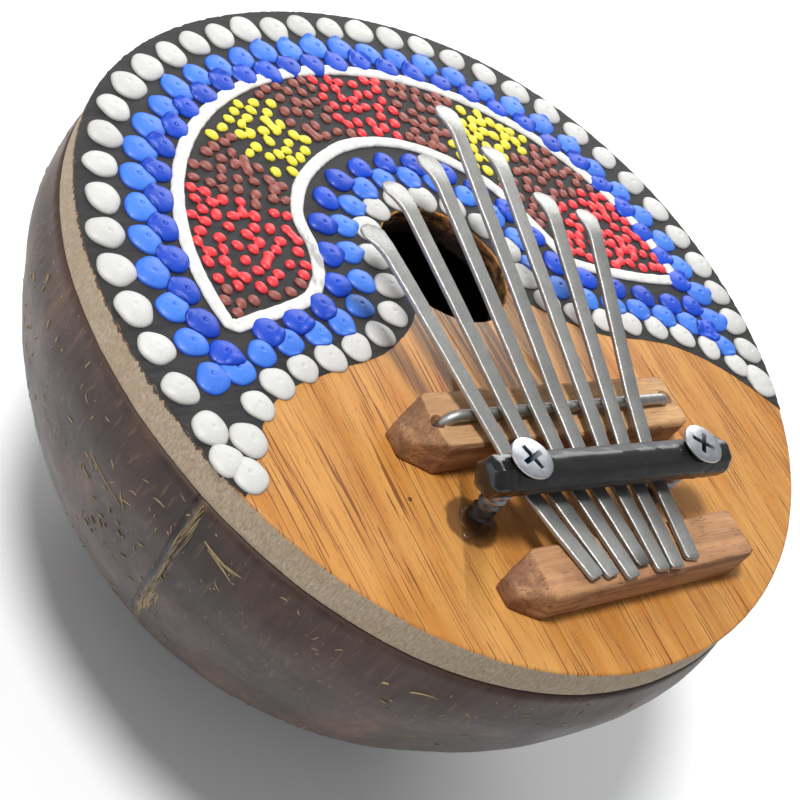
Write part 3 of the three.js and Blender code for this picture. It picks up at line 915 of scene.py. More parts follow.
GROUND = 0.10                      # height of the charcoal paint
LOWER_LEFT = [(-57.2, -29), (-53.5, -24), (-49, -18), (-43, -14), (-33, -11.5), (-24, -9.6), (-17, -6),
              (-12.6, -2), (-10.4, 0.8)]
LOWER_RIGHT = [(9.4, 0.6), (12.5, -2), (18.5, -6), (25, -9), (38, -11.6), (46, -15.6), (52, -21), (57.6, -28)]
ARCH_CENTRE = (0.0, 5.0)
ARCH_ENDS = (-3.5, 189.0)          # angles of the outer white line's ends
INNER_LINE = [(27.2, 6.6), (25.4, 12), (19.4, 24.4), (7.2, 32), (-6.6, 32.1), (-18.8, 25.6), (-25, 17.6),
              (-25.8, 10), (-27.6, 5)]
LEFT_END = [(-27.6, 5), (-31, 1.5), (-36, -0.4), (-42, -1.9), (-46.6, -3.2)]
RIGHT_END = [(53.2, 1.4), (46, 2), (40, 3), (33, 4.6), (27.2, 6.6)]
LINE_WIDTH = 2.2
WHITE_INSET, LIGHT_INSET, DARK_INSET = 3.65, 9.2, 12.7
RIM_STEP = math.radians(6.24)


def outer_arch(angle):
    radius = 47.25 + 2.95 * math.cos(2 * angle) + 2.0 * math.cos(angle)
    return ARCH_CENTRE[0] + radius * math.cos(angle), ARCH_CENTRE[1] + radius * math.sin(angle)


def arch_outline():
    """The white line's centre: over the outer arch, in along the left end, back over the inner arch."""
    first, last = (math.radians(a) for a in ARCH_ENDS)
    outer = [outer_arch(a) for a in np.linspace(first, last, 80)]
    left = through(LEFT_END)[::-1]
    inner = through(INNER_LINE)[::-1]
    right = through(RIGHT_END)[::-1]
    return evenly(np.array(list(outer) + list(left[1:]) + list(inner[1:]) + list(right[1:])), 0.45)


def dome_height(rho):
    return np.maximum(0.0, 1 - np.minimum(rho, 1.0) ** 2.5) ** 0.55


class Dots:
    """Round drops of one colour in one mesh. Each lies on the paint that is already there."""

    def __init__(self, name, material, slot, seed, nib=0.0):
        self.name = name
        self.material = material
        self.slot = slot
        self.rng = random.Random(seed)
        self.nib = nib
        self.points = []
        self.faces = []
        self.heights = []
        self.tones = []
        self.placed = []

    def under(self, x, y, below):
        """The height of the paint under a point."""
        height = GROUND
        for other in below:
            for cx, cy, radius, high in other.placed:
                gap = math.hypot(x - cx, y - cy) / radius
                if gap < 1:
                    height = max(height, GROUND + high * float(dome_height(gap)))
        return height

    def add(self, x, y, radius, height, below=(), segments=28, stretch=0.08):
        rng = self.rng
        phases = [rng.uniform(0, TAU) for _ in range(3)]
        oval = rng.uniform(-stretch, stretch)
        tone = rng.random()
        nib_x = rng.gauss(0, 0.07) * radius
        nib_y = rng.gauss(0, 0.07) * radius
        nib = self.nib * rng.uniform(0.5, 1.3)
        lean = (rng.gauss(0, 0.05), rng.gauss(0, 0.05))
        rings = (0.06, 0.11, 0.16, 0.24, 0.36, 0.52, 0.68, 0.81, 0.9, 0.96, 0.99, 1.0) if nib else \
            (0.3, 0.55, 0.75, 0.9, 0.98, 1.0)
        start = len(self.points)

        def drop(px, py, rho):
            crater = -math.exp(-(rho / 0.11) ** 2) + 0.3 * math.exp(-((rho - 0.2) / 0.08) ** 2)
            top = height * (float(dome_height(rho)) * (1 + lean[0] * px / radius + lean[1] * py / radius))
            return top + nib * crater

        def put(dx, dy, rho):
            fold = 1 - rho
            px = x + dx + nib_x * fold
            py = y + dy + nib_y * fold
            rise = drop(dx, dy, rho)
            self.points.append((px, py, self.under(px, py, below) + rise))
            # The number the material reads dips in the middle mark, so that the mark is painted darker there
            # as shade.
            self.heights.append(rise / height - (0.5 * math.exp(-(rho / 0.1) ** 2) if nib else 0.0))
            self.tones.append(tone)

        put(0, 0, 0.0)
        for rho in rings:
            for k in range(segments):
                a = TAU * k / segments
                uneven = 1 + oval * math.cos(2 * a + phases[0]) + 0.035 * math.cos(3 * a + phases[1])
                uneven += 0.018 * math.cos(5 * a + phases[2])
                reach = radius * rho * (1 + (uneven - 1) * rho)
                put(reach * math.cos(a), reach * math.sin(a), rho)
        foot = len(self.points)
        for k in range(segments):
            px, py, _ = self.points[foot - segments + k]
            self.points.append((px, py, GROUND - 0.06))
            self.heights.append(0.0)
            self.tones.append(tone)
        for k in range(segments):
            self.faces.append((start, start + 1 + k, start + 1 + (k + 1) % segments))
        for f in grid_faces(len(rings) + 1, segments):
            a, b, c, d = (start + 1 + i for i in f)
            self.faces.append((a, d, c, b))
        self.faces.append(tuple(foot + k for k in reversed(range(segments))))
        self.placed.append((x, y, radius, height))

    def build(self):
        obj = piece(self.name, self.points, self.faces, self.material)
        mark(obj, "dot_shade_height", self.heights)
        mark(obj, "dot_tone", self.tones)
        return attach(obj, "sound_box")


def along_row(points, spacing):
    """Evenly spaced places along a smooth row."""
    return evenly(through(points), spacing)


def face_paint():
    ground()
    outline = arch_outline()
    white_line(outline)
    # The first colour of each paint is its deep tone, which also paints the shade at the foot and in the
    # middle mark of each dot.
    white_paint = dot_material("white paint", rgb(172, 170, 164), rgb(208, 207, 203), 0.0)
    light_paint = dot_material("light blue paint", rgb(26, 72, 184), rgb(66, 128, 226), 0.05)
    dark_paint = dot_material("dark blue paint", rgb(0, 30, 124), rgb(4, 72, 200), 0.08)
    white = Dots("dots_white", white_paint, "paint_white", 21, nib=0.12)
    light = Dots("dots_light_blue", light_paint, "paint_light_blue", 22, nib=0.2)
    dark = Dots("dots_dark_blue", dark_paint, "paint_dark_blue", 23, nib=0.24)
    first = math.radians(-20.4)
    count = 36
    for i in range(count):
        angle = first + i * RIM_STEP
        r = board_edge(angle) - WHITE_INSET - 0.5 * math.sin(angle) + white.rng.gauss(0, 0.2)
        size = white.rng.uniform(2.6, 2.95) + 0.18 * max(0.0, math.cos(angle))
        white.add(r * math.cos(angle), r * math.sin(angle), size, 0.95)
    for x, y, size in ((-58.2, -24.0, 2.6), (-56.0, -26.5, 2.8), (-53.5, -21.3, 2.8)):
        white.add(x, y, size, 0.8)
    inner_white = [(-49.4, -16.2), (-44.4, -12.9), (-39, -10.9), (-28, -8), (-22, -5.9), (-16.9, -1.6),
                   (-15, 3.5), (-14.6, 9), (-12.5, 15), (-6.5, 19.5), (1, 20.6), (8, 18.8), (13, 13.5),
                   (15.2, 8), (14.6, 2.4), (17.5, -2.6), (24, -5.5), (36, -7.8), (43, -10), (49, -13.4),
                   (53.4, -17.6), (56.6, -22.4)]
    for x, y in along_row(inner_white, 5.75):
        white.add(x, y, white.rng.uniform(2.45, 2.8), 0.75)
    for i in range(count - 2):
        angle = first + (i + 1) * RIM_STEP
        r = board_edge(angle) - LIGHT_INSET + light.rng.gauss(0, 0.3)
        light.add(r * math.cos(angle), r * math.sin(angle), light.rng.uniform(2.5, 2.85), 0.78, (white,))
    inner_light = [(-49.8, -10.4), (-43.8, -7.6), (-37.5, -6), (-30.5, -4.4), (-25, -2), (-21, 1.6),
                   (-19.4, 7), (-18.6, 13), (-13.8, 18.6), (-7, 23.4), (1, 25), (8.5, 23.6),
                   (14.5, 19.4), (18.4, 12.5), (18.2, 5.6), (21.5, 0.8), (28, -2.2), (38, -4.6), (48, -8)]
    for x, y in along_row(inner_light, 5.7):
        light.add(x, y, light.rng.uniform(2.35, 2.65), 0.76, (white,))
    for i in range(count - 3):
        angle = first + (i + 1.5) * RIM_STEP
        r = board_edge(angle) - DARK_INSET + dark.rng.gauss(0, 0.3)
        dark.add(r * math.cos(angle), r * math.sin(angle), dark.rng.uniform(2.35, 2.65), 0.8, (white, light))
    inner_dark = [(-41.8, -4.3), (-35.2, -2.6), (-29.4, 0), (-24.2, 4.6), (-23, 10.5), (-20.5, 17),
                  (-15, 23), (-7, 27), (3, 28.2), (12, 25.6), (19, 19.6), (22.8, 12), (24, 5.8),
                  (31, 1.8), (39, -1), (46.5, -3.6)]
    for x, y in along_row(inner_dark, 6.3):
        dark.add(x, y, dark.rng.uniform(2.3, 2.6), 0.82, (white, light))
    for dots in (white, light, dark):
        dots.build()
    fill_band(outline)


def ground():
    """The thin charcoal ground over the upper part of the face."""
    first = math.atan2(LOWER_RIGHT[-1][1], LOWER_RIGHT[-1][0])
    last = math.atan2(LOWER_LEFT[0][1], LOWER_LEFT[0][0]) + TAU
    outline = []
    for angle in np.linspace(first, last, 420):
        ragged = 0.16 + 0.22 * wander(70 * angle, 0, 0, 1.6)
        radius = board_edge(angle) - max(0.05, ragged)
        outline.append((radius * math.cos(angle), radius * math.sin(angle)))
    left = through(LOWER_LEFT, step=0.7)
    right = through(LOWER_RIGHT, step=0.7)
    for x, y in left[1:]:
        sway = 0.12 * wander(x, y, 0, 2.0)
        outline.append((x, y + sway))
    from_hole = [math.atan2(p[1] - HOLE["y"], p[0] - HOLE["x"]) for p in (LOWER_LEFT[-1], LOWER_RIGHT[0])]
    for angle in np.linspace(from_hole[0] + TAU, from_hole[1], 130)[1:-1]:
        x, y = hole_edge(angle)
        grow = (0.35 + 0.12 * wander(5 * math.cos(angle), 5 * math.sin(angle), 3, 1.0)) / HOLE["radius"]
        outline.append((x + (x - HOLE["x"]) * grow, y + (y - HOLE["y"]) * grow))
    for x, y in right[:-1]:
        sway = 0.12 * wander(x, y, 0, 2.0)
        outline.append((x, y + sway))
    curve = bpy.data.curves.new("ground outline", "CURVE")
    curve.dimensions = "2D"
    curve.fill_mode = "BOTH"
    curve.extrude = 0.5 * (GROUND + 0.04) * MM
    spline = curve.splines.new("POLY")
    spline.points.add(len(outline) - 1)
    for point, (x, y) in zip(spline.points, outline):
        point.co = (x * MM, y * MM, 0, 1)
    spline.use_cyclic_u = True
    drawn = bpy.data.objects.new("ground outline", curve)
    scene.collection.objects.link(drawn)
    bpy.context.view_layer.update()
    mesh = bpy.data.meshes.new_from_object(drawn.evaluated_get(bpy.context.evaluated_depsgraph_get()))
    bpy.data.objects.remove(drawn)
    middle = BOARD_TOP + 0.5 * (GROUND - 0.04)
    mesh.transform(Matrix.Translation((0, 0, middle * MM)))
    mesh.materials.clear()
    mesh.materials.append(ground_material())
    obj = bpy.data.objects.new("paint_ground", mesh)
    scene.collection.objects.link(obj)
    face_outward(obj)
    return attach(obj, "sound_box")


def white_line(outline):
    """A raised brushed line round the painted arch."""
    profile = [(-1, -0.1), (-0.98, 0.12), (-0.9, 0.3), (-0.7, 0.4), (-0.35, 0.44), (0, 0.46), (0.35, 0.44),
               (0.7, 0.4), (0.9, 0.3), (0.98, 0.12), (1, -0.1)]
    points = []
    count = len(outline) - 1
    for i in range(count):
        ahead = outline[(i + 2) % count] - outline[(i - 2) % count]
        ahead /= np.linalg.norm(ahead)
        x, y = outline[i]
        half = 0.5 * LINE_WIDTH * (1 + 0.07 * wander(x, y, 0, 5))
        for across, up in profile:
            reach = across * half + 0.07 * wander(x, y, 5 + across, 1.2)
            lift = GROUND + up * (1 + 0.2 * wander(x, y, 9 + 2 * across, 1.6))
            points.append((x - ahead[1] * reach, y + ahead[0] * reach, lift if up > 0 else GROUND - 0.05))
    size = len(profile)
    faces = []
    for i in range(count):
        n = (i + 1) % count
        for j in range(size):
            k = (j + 1) % size
            faces.append((i * size + j, i * size + k, n * size + k, n * size + j))
    obj = face_outward(piece("arch_line", points, faces, line_material()))
    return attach(obj, "sound_box")


# The painted arch changes colour at these angles round its centre, from the right end.
BANDS = [(22.5, "red"), (39, "brown"), (59, "yellow"), (78, "brown"), (101, "red"), (118, "brown"),
         (139.5, "yellow"), (157, "brown"), (182, "red"), (200, "brown")]


def inside(x, y, outline):
    """True where the point lies within the closed outline."""
    result = False
    for (ax, ay), (bx, by) in zip(outline, np.roll(outline, -1, axis=0)):
        if (ay > y) != (by > y) and x < ax + (bx - ax) * (y - ay) / (by - ay):
            result = not result
    return result


def fill_band(outline):
    """Small close-set dots in patches of colour; some have run together."""
    rng = random.Random(5)
    coarse = outline[::3]
    throws = 30000
    least_gap = 2.04
    line_gap = 0.5 * LINE_WIDTH + 0.8
    run_together = 0.07
    chosen = {"red": [], "brown": [], "yellow": []}
    low = outline.min(axis=0)
    high = outline.max(axis=0)
    # The first place is far off the board, so that the list is never empty.
    taken = np.full((1, 2), 1e3)
    for _ in range(throws):
        x = rng.uniform(low[0], high[0])
        y = rng.uniform(low[1], high[1])
        if np.min(np.hypot(taken[:, 0] - x, taken[:, 1] - y)) < least_gap:
            continue
        if np.min(np.hypot(outline[:, 0] - x, outline[:, 1] - y)) < line_gap:
            continue
        if not inside(x, y, coarse):
            continue
        taken = np.vstack([taken, [x, y]])
        angle = math.degrees(math.atan2(y - ARCH_CENTRE[1], x - ARCH_CENTRE[0]))
        angle = angle + 360 if angle < -90 else angle
        angle += rng.gauss(0, 1.2)
        colour = next(c for limit, c in BANDS if angle < limit or limit == BANDS[-1][0])
        chosen[colour].append((x, y, rng.uniform(0.96, 1.14) + (0.08 if x > 0 else 0.0)))
    # The first colour of each paint is its deep tone, which also paints the shade at the foot of each dot.
    paints = {
        "red": dot_material("red paint", rgb(176, 24, 34), rgb(224, 58, 64), 0.1),
        "brown": dot_material("red-brown paint", rgb(92, 42, 34), rgb(144, 78, 68), 0.05),
        "yellow": dot_material("yellow paint", rgb(190, 172, 16), rgb(230, 218, 62), 0.05),
    }
    for seed, (colour, spots) in enumerate(chosen.items()):
        dots = Dots("dots_" + colour, paints[colour], "paint_" + colour, 40 + seed)
        for x, y, radius in spots:
            dots.add(x, y, radius, 0.55, segments=14, stretch=0.17)
        for i, (x, y, radius) in enumerate(spots):
            near = [s for s in spots[i + 1:] if math.hypot(s[0] - x, s[1] - y) < 1.2 * least_gap]
            if near and rng.random() < run_together:
                bx, by, _ = rng.choice(near)
                for t in (0.35, 0.5, 0.65):
                    dots.add(x + (bx - x) * t, y + (by - y) * t, 0.86, 0.5, segments=12)
        obj = dots.build()
        obj.parent = None
        remeshed(obj, 0.18, rounds=3)
        # The dots' height above the ground, which the material turns into painted shade at their feet and in
        # the hollows where they run together.
        heights = np.array([v.co.z for v in obj.data.vertices]) / MM - BOARD_TOP - GROUND
        mark(obj, "dot_shade_height", np.clip(heights / 0.5, 0, 1).astype(np.float32))
        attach(obj, "sound_box")


# ---- Bridges and wire ----

def bridge(name, node, material, seed):
    obj = remeshed(hull_of(name, node, material), 0.38, rounds=2)
    low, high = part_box(node)
    base = low.z / MM

    def rough(x, y, z):
        grain = 0.09 * wander(x / 5 + seed, y, z, 0.9) + 0.16 * wander(x / 2, y + seed, z, 4.5)
        side = 1 if y > (low.y + high.y) / 2 / MM else -1
        held = min(1.0, (z - base) / 0.6)
        return (0.12 * wander(x, y, z + seed, 3), side * grain * 0.6, grain * held)

    shifted(obj, rough)
    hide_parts(node)
    return obj


def wire_skew():
    """The wire's turn from the X axis; the tines hinge over it."""
    axis = joint("tine_1_flex")["axis"]
    return math.atan2(axis[1], axis[0])


def bridges():
    # The last colour given to each bridge wood is the painted light on its upward faces.
    front = bridge("front_bridge_block", "front_bridge",
                   raw_wood_material("front bridge wood", rgb(150, 104, 68), rgb(196, 148, 100),
                                     rgb(222, 178, 128), 0), 3)
    wire_low, wire_high = (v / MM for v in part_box("bridge_wire"))
    skew = wire_skew()
    middle = (wire_low + wire_high) / 2
    for side in (-1, 1):
        reach = side * ((wire_high.x - wire_low.x) / 2 - 0.5)
        x = middle.x + reach * math.cos(skew)
        y = middle.y + reach * math.sin(skew)
        bore = 1.05 if side < 0 else 1.25
        drill = lathe("drill", [(0, -4), (bore, -4), (bore + 0.1, 12), (0, 12)], 24, front.data.materials[0],
                      origin=np.array([x + 0.7 * side, y + 0.4 * (side + 1), wire_low.z + 1]))
        cut_away(front, drill)
    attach(front, "sound_box")
    # Its last colour is the painted light on the upward faces.
    back = bridge("back_bridge_block", "back_bridge",
                  raw_wood_material("back bridge wood", rgb(138, 92, 62), rgb(186, 136, 92),
                                    rgb(200, 150, 108), 57), 8)
    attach(back, "sound_box")


def tube(name, centre, radii, material, sides=20, origin=None):
    """A closed round bar along a curve, with a radius for each point."""
    centre = np.array(centre, float)
    points = []
    for i, at in enumerate(centre):
        ahead = centre[min(i + 1, len(centre) - 1)] - centre[max(i - 1, 0)]
        ahead /= np.linalg.norm(ahead)
        side = np.cross(ahead, (0, 1, 0))
        side /= np.linalg.norm(side)
        up = np.cross(side, ahead)
        for k in range(sides):
            a = TAU * k / sides
            points.append(at + radii[i] * (math.cos(a) * side + math.sin(a) * up))
    faces = grid_faces(len(centre), sides)
    faces.append(tuple(range(sides)))
    faces.append(tuple((len(centre) - 1) * sides + k for k in range(sides)))
    origin = np.zeros(3) if origin is None else origin
    return face_outward(piece(name, points, faces, material, origin=origin))


WIRE_RADIUS = 0.85


def bridge_wire(steel):
    low, high = (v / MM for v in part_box("bridge_wire"))
    skew = wire_skew()
    middle = (low + high) / 2
    half = (high.x - low.x) / 2 - WIRE_RADIUS
    top = high.z - WIRE_RADIUS
    route = [(-half, low.z + 0.3), (-half, top - 2.4), (-half + 0.35, top - 1.0), (-half + 1.6, top - 0.1),
             (-half + 4, top), (0, top), (half - 4, top), (half - 1.4, top - 0.1), (half - 0.3, top - 1.0),
             (half, top - 2.4), (half, low.z + 0.3)]
    curve = through([(a, 0, z) for a, z in route], step=0.5)
    turn = Matrix.Rotation(skew, 3, "Z")
    centre = [np.array(turn @ Vector(p)) + np.array([middle.x, middle.y, 0]) for p in curve]
    radii = [WIRE_RADIUS * (1 + 0.02 * wander(p[0], 0, 0, 4)) for p in curve]
    obj = tube("wire_staple", centre, radii, steel, sides=24)
    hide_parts("bridge_wire")
    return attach(obj, "sound_box")


# ---- Pressure bar and screws ----

def bar_axis():
    """The bar's middle, direction, length and radius, from its CAD node."""
    points = node_points("pressure_bar")
    low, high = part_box("pressure_bar")
    left = points[points[:, 0] < low.x / MM + 1.5].mean(axis=0)
    right = points[points[:, 0] > high.x / MM - 1.5].mean(axis=0)
    radius = (high.z - low.z) / 2 / MM
    height = (high.z + low.z) / 2 / MM
    direction = (right - left) * (1, 1, 0)
    direction /= np.linalg.norm(direction)
    middle = (left + right) / 2
    along = (points - middle) @ direction
    middle = middle + direction * (along.max() + along.min()) / 2
    middle[2] = height
    return middle, direction, along.max() - along.min(), radius


def pressure_bar(material):
    """A lacquered iron rod: thick glossy ends, a flat along its front and drips under it."""
    middle, direction, length, radius = bar_axis()
    steps = 110
    sides = 40
    across = np.cross((0, 0, 1), direction)
    points = []
    for i in range(steps + 1):
        t = -1 + 2 * i / steps
        t = math.sin(t * math.pi / 2) * 0.55 + t * 0.45
        s = t * length / 2
        from_end = length / 2 - abs(s)
        cap = min(1.0, max(0.0, from_end / 1.3))
        size = radius * (0.30 + 0.70 * math.sqrt(1 - (1 - cap) ** 2)) if cap < 1 else radius
        for k in range(sides):
            a = TAU * k / sides
            lump = 0.03 * wander(s, 3 * math.cos(a), 3 * math.sin(a), 3)
            lump += 0.05 * max(0.0, 1 - from_end / 5) * wander(s, 3 * math.cos(a), 3 * math.sin(a), 1.1)
            sides_here = 6 if s < -length / 2 + 4 else 8
            turn = TAU / sides_here
            facet = (round((a - 0.3) / turn)) * turn + 0.3
            flat = math.cos(turn / 2) / math.cos(a - facet) if sides_here == 6 else \
                0.12 + 0.88 * math.cos(turn / 2) / math.cos(a - facet)
            drip = max(0.0, -math.sin(a + 0.4)) ** 4 * 0.3 * max(0.0, wander(s, 4, 0, 1.6))
            r = min(size * flat * (1 + lump) * 1.04, radius + 0.05) - 0.02 + drip
            # No drip hangs lower than the tines leave room for.
            up = max(r * math.sin(a), -radius - 0.02)
            points.append(middle + direction * s + r * math.cos(a) * across + up * np.array((0, 0, 1)))
    faces = grid_faces(steps + 1, sides)
    faces.append(tuple(range(sides)))
    faces.append(tuple(steps * sides + k for k in range(sides)))
    obj = face_outward(piece("bar_rod", points, faces, material, origin=np.zeros(3)))
    for side in ("left", "right"):
        low, high = (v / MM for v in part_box("screw_" + side))
        reach = (high.x - low.x) / 2
        x, y = (low.x + high.x) / 2, (low.y + high.y) / 2
        neck = high.z - 0.4 - (reach - 1.75)
        sink = [(0, low.z), (1.98, low.z), (1.98, neck - 0.1), (reach + 0.25, high.z - 0.5),
                (reach + 0.25, high.z + 3), (0, high.z + 3)]
        cut_away(obj, lathe("sink", sink, 48, material, origin=np.array([x, y, 0])))
    melted = []
    for vertex in obj.data.vertices:
        along = (np.array(vertex.co) / MM - middle) @ direction
        melted.append(max(0.0, min(1.0, (-length / 2 + 5 - along) / 1.5)))
    mark(obj, "melted", melted)
    sharpen(obj, 24)
    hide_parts("pressure_bar")
    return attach(obj, "clamp")


SCREW = {"shank": 1.28, "crest": 1.72, "pitch": 1.4, "edge": 0.4}
# Faces of a closed box from its four upper and four lower corners.
BOX_FACES = [(0, 1, 2, 3), (4, 7, 6, 5), (0, 4, 5, 1), (1, 5, 6, 2), (2, 6, 7, 3), (3, 7, 4, 0)]


def screw(side, material, degrees):
    """A countersunk cross-head wood screw with its thread."""
    node = "screw_" + side
    low, high = (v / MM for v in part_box(node))
    reach = (high.x - low.x) / 2
    x, y = (low.x + high.x) / 2, (low.y + high.y) / 2
    neck = high.z - SCREW["edge"] - (reach - 1.75)
    profile = [(0, low.z), (0.3, low.z + 0.05), (SCREW["shank"], low.z + 2.6), (SCREW["shank"], neck - 3.2),
               (1.6, neck - 2.8), (1.72, neck - 0.3), (1.9, neck + 0.1), (reach - 0.1, high.z - 0.5),
               (reach, high.z - 0.38), (reach, high.z - 0.2), (reach - 0.08, high.z - 0.06),
               (reach - 0.3, high.z), (0.9, high.z), (0, high.z)]
    obj = lathe("screw_body_" + side, profile, 64, material, origin=np.array([x, y, 0]))
    # Cross recess: two tapered blades and a small square well between them.
    for turn in (0, 90):
        a = math.radians(degrees + turn)
        c, s = math.cos(a), math.sin(a)
        blade = []
        for z, long, wide in ((high.z + 0.3, 2.2, 0.42), (high.z - 1.6, 0.9, 0.26)):
            for u, v in ((-long, -wide), (long, -wide), (long, wide), (-long, wide)):
                blade.append((u * c - v * s, u * s + v * c, z))
        tool = piece("blade", blade, BOX_FACES, material, origin=np.array([x, y, 0]), smooth=False)
        cut_away(obj, face_outward(tool))
    a = math.radians(degrees + 45)
    well = []
    for z, wide in ((high.z + 0.3, 0.8), (high.z - 1.3, 0.35)):
        for k in range(4):
            b = a + math.pi / 4 + k * math.pi / 2
            well.append((1.2 * wide * math.cos(b), 1.2 * wide * math.sin(b), z))
    tool = piece("well", well, BOX_FACES, material, origin=np.array([x, y, 0]), smooth=False)
    cut_away(obj, face_outward(tool))
    # The thread is a ridge wound round the shank.
    ridge = []
    per_turn = 24
    start_z = low.z + 0.9
    end_z = neck - 3.6
    turns = (end_z - start_z) / SCREW["pitch"]
    count = int(turns * per_turn)
    for i in range(count + 1):
        t = i / count
        z = start_z + t * (end_z - start_z)
        a = TAU * turns * t
        root = SCREW["shank"] * min(1.0, 0.35 + (z - low.z) / 2.8) - 0.1
        crest = root + (SCREW["crest"] - SCREW["shank"] + 0.1) * min(1.0, 8 * t, 8 * (1 - t) + 0.1)
        for r, dz in ((root, -0.42), (crest, -0.05), (crest, 0.05), (root, 0.42)):
            ridge.append((x + r * math.cos(a), y + r * math.sin(a), z + dz))
    faces = grid_faces(count + 1, 4)
    faces.append((0, 1, 2, 3))
    faces.append(tuple(4 * count + k for k in range(4)))
    wound = face_outward(piece("thread", ridge, faces, material, origin=np.zeros(3)))
    join(obj, wound)
    sharpen(obj, 35)
    recess = []
    shank_painted_shadow = []
    for vertex in obj.data.vertices:
        px, py, pz = vertex.co / MM
        # The vertices of the cross recess, which the material paints dark as shade.
        in_cross = math.hypot(px - x, py - y) < 2.6 and high.z - 2.2 < pz < high.z - 0.05
        recess.append(1.0 if in_cross else 0.0)
        # Painted shadow on the shank: full up to 3 mm above the face and gone by 5.5 mm.
        shank_painted_shadow.append(min(max((BOARD_TOP + 5.5 - pz) / 2.5, 0.0), 1.0))
    mark(obj, "recess", recess)
    mark(obj, "shank_painted_shadow", shank_painted_shadow)
    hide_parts(node)
    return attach(obj, side + "_screw")


def join(obj, other):
    """Adds the other piece's mesh to the first."""
    work = bmesh.new()
    work.from_mesh(obj.data)
    work.from_mesh(other.data)
    work.to_mesh(obj.data)
    work.free()
    bpy.data.objects.remove(other)


def sharpen(obj, degrees):
    """Keeps edges crisp where faces meet at more than the angle."""
    work = bmesh.new()
    work.from_mesh(obj.data)
    for edge in work.edges:
        if len(edge.link_faces) == 2 and edge.calc_face_angle(0) > math.radians(degrees):
            edge.smooth = False
    work.to_mesh(obj.data)
    work.free()


# ---- Tines ----

TINE = {"corner": 0.24, "tip_half": 2.05, "tip_round": 2.3, "flare": 6.5, "tip_thick": 0.5}


def tine_line(number):
    """One tine's line, from its CAD nodes and joints: where it crosses the wire and how it runs."""
    flex = joint(f"tine_{number}_flex")
    tune = joint(f"tine_{number}_tune")
    crossing = np.array(flex["pos_m"]) / MM
    ahead = np.array(tune["axis"][:2])
    ahead /= np.linalg.norm(ahead)
    tail = node_points(f"tine_{number}_tail")
    tongue = node_points(f"tine_{number}_tongue")
    tail_run = (tail[:, :2] - crossing[:2]) @ ahead
    tongue_run = (tongue[:, :2] - crossing[:2]) @ ahead
    across = (tail[:, :2] - crossing[:2]) @ np.array([-ahead[1], ahead[0]])
    middle, direction, _, _ = bar_axis()
    cross = ahead[0] * direction[1] - ahead[1] * direction[0]
    offset = middle[:2] - crossing[:2]
    at_bar = (offset[0] * direction[1] - offset[1] * direction[0]) / cross
    straight = tongue[(tongue_run > 0) & (tongue_run < tongue_run.max() - TINE["flare"])]
    run = (straight[:, :2] - crossing[:2]) @ ahead
    rise = np.polyfit(run, straight[:, 2], 1)[0]
    end = tongue[tongue_run > tongue_run.max() - 0.3]
    thick = tail[:, 2][tail_run < tail_run.min() + 1]
    return {
        "crossing": crossing, "ahead": ahead, "bar": at_bar, "tail": tail_run.min(), "tip": tongue_run.max(),
        "half": np.abs(across).max(), "rise": rise, "tip_z": end[:, 2].mean(),
        "tail_z": (thick.max() + thick.min()) / 2, "thick": thick.max() - thick.min(),
    }


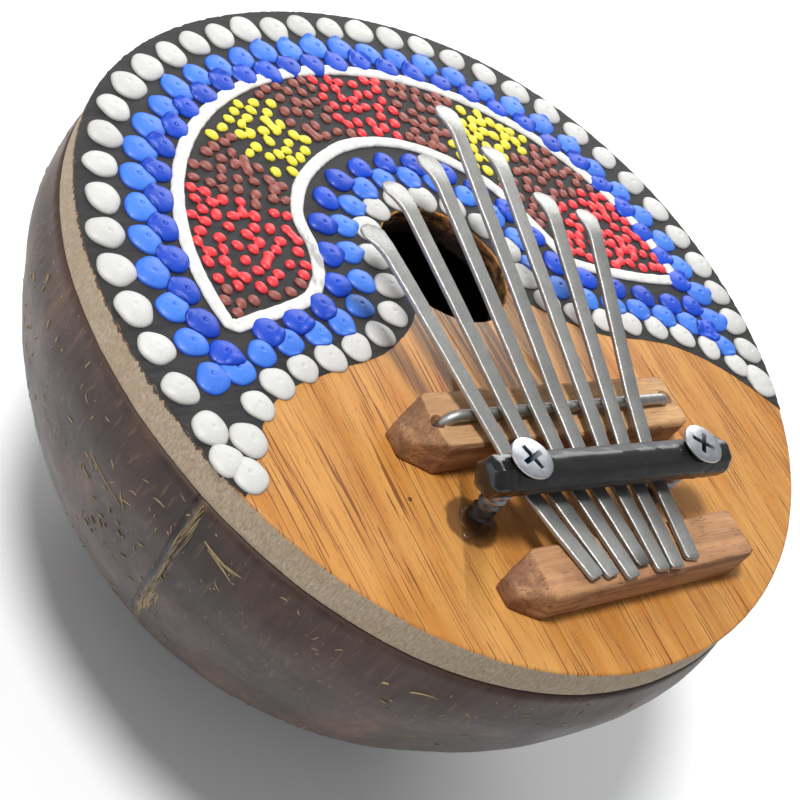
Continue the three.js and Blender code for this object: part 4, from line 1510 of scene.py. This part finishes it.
def tine(number, steel):
    """One flattened steel strip, from its cut tail to its beaten tip."""
    line = tine_line(number)
    rng = random.Random(100 + number)
    side = np.array([-line["ahead"][1], line["ahead"][0]])
    wire_z = line["crossing"][2]
    runs = np.arange(line["tail"], line["tip"], 0.5)
    runs = np.append(runs[runs < line["tip"] - TINE["tip_round"]],
                     line["tip"] - TINE["tip_round"] * (1 - np.sin(np.linspace(0, math.pi / 2, 10))))
    flat_tip = wire_z + line["rise"] * line["tip"]
    drop = flat_tip - line["tip_z"]

    def centre_height(s):
        if s < line["bar"]:
            return line["tail_z"]
        if s < 0:
            return line["tail_z"] + (wire_z - line["tail_z"]) * (s - line["bar"]) / (0 - line["bar"])
        part = max(0.0, (s - line["tip"] + TINE["flare"]) / TINE["flare"])
        return wire_z + line["rise"] * s - drop * part ** 2

    def softened(s):
        return sum(centre_height(s + d) for d in (-0.9, -0.45, 0, 0.45, 0.9)) / 5

    shade = []
    points = []
    corners = 3
    for s in runs:
        flare = max(0.0, min(1.0, (s - line["tip"] + TINE["flare"]) / (TINE["flare"] - TINE["tip_round"])))
        half = line["half"] * (1 + 0.03 * wander(s, number, 0, 6)) + 0.05
        half += (TINE["tip_half"] - half) * flare ** 1.6
        if s > line["tip"] - TINE["tip_round"]:
            part = (s - line["tip"] + TINE["tip_round"]) / TINE["tip_round"]
            half = max(0.25, TINE["tip_half"] * (1 - part ** 2.4) ** 0.5)
        thick = line["thick"] * (1 + 0.03 * wander(s, number, 7, 4))
        thick += (TINE["tip_thick"] - thick) * flare ** 2
        height = softened(s)
        slope = (softened(s + 0.3) - softened(s - 0.3)) / 0.6
        lean = math.atan(slope)
        end = max(0.0, 1 - (s - line["tail"]) / 0.5)
        half -= 0.25 * end
        drift = 0.06 * wander(s, number, 3, 12)
        centre = line["crossing"][:2] + line["ahead"] * s + side * drift
        corner = min(TINE["corner"], 0.45 * thick, 0.9 * half)
        ring = []
        for cx, cy, first in ((1, 1, 0), (-1, 1, 90), (-1, -1, 180), (1, -1, 270)):
            for k in range(corners + 1):
                a = math.radians(first + 90 * k / corners)
                ring.append((cx * (half - corner) + corner * math.cos(a),
                             cy * (thick / 2 - corner) + corner * math.sin(a)))
        for across, up in ring:
            dent = 0.03 * wander(s, 2 * across, number, 1.2) if up > 0 else 0
            lift = up + dent
            plan = centre + side * across - line["ahead"] * math.sin(lean) * lift
            points.append((plan[0], plan[1], height + math.cos(lean) * lift))
            burnt = 1.0 if number == 4 else 0.35
            shade.append(burnt * max(0.0, 1 - (s - line["tail"]) / (2.6 if number == 4 else 0.6)))
    size = 4 * (corners + 1)
    faces = grid_faces(len(runs), size)
    faces.append(tuple(range(size)))
    faces.append(tuple((len(runs) - 1) * size + k for k in range(size)))
    obj = piece(f"tine_{number}_strip", points, faces, steel, origin=np.zeros(3))
    mark(obj, "tail_end", shade)
    work = bmesh.new()
    work.from_mesh(obj.data)
    bmesh.ops.recalc_face_normals(work, faces=work.faces)
    work.to_mesh(obj.data)
    work.free()
    sharpen(obj, 50)
    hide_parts(f"tine_{number}_tail", f"tine_{number}_tongue")
    end = line["crossing"] + np.append(line["ahead"], 0) * 0.9
    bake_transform(obj)
    return obj


# ---- Glue ----

def glue_spots():
    """Dried glue beside the bar and at the foot of the bridges."""
    spots = [(-23.8, -38.3, 2.6), (-26.2, -40.0, 0.9), (-32.8, -33.4, 0.35), (26.2, -28.6, 0.5)]
    points = []
    faces = []
    rng = random.Random(77)
    segments = 36
    rings = (0.3, 0.6, 0.8, 0.92, 1.0)
    thickness = 0.16
    for x, y, radius in spots:
        start = len(points)
        phase = rng.uniform(0, 9)
        points.append((x, y, thickness))
        for rho in rings:
            for k in range(segments):
                a = TAU * k / segments
                reach = radius * rho * (1 + 0.2 * wander(1.2 * math.cos(a), 1.2 * math.sin(a), phase, 1.6))
                px = x + reach * math.cos(a)
                lift = thickness * float(dome_height(rho)) * (1 + 0.4 * wander(px, y, phase, 0.8))
                points.append((px, y + reach * math.sin(a), max(lift, 0.0) if rho < 1 else -0.02))
        for k in range(segments):
            faces.append((start, start + 1 + k, start + 1 + (k + 1) % segments))
        for f in grid_faces(len(rings), segments):
            faces.append(tuple(start + 1 + i for i in f))
        faces.append(tuple(start + 1 + (len(rings) - 1) * segments + k for k in range(segments)))
    obj = face_outward(piece("glue_spots", points, faces, glue_material()))
    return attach(obj, "sound_box")


# ---- The whole instrument ----

camera()
studio()
shell_shape = ShellShape()
shell(shell_shape, shell_material())
shell_fibres(shell_shape, fibre_material())
soundboard(board_material())
face_paint()
bridges()
spring_steel = steel_material()
bridge_wire(spring_steel)
pressure_bar(lacquer_material())
zinc = zinc_material()
screw("left", zinc, 18)
screw("right", zinc, 50)
for tine_number in range(1, 8):
    tine(tine_number, spring_steel)
glue_spots()
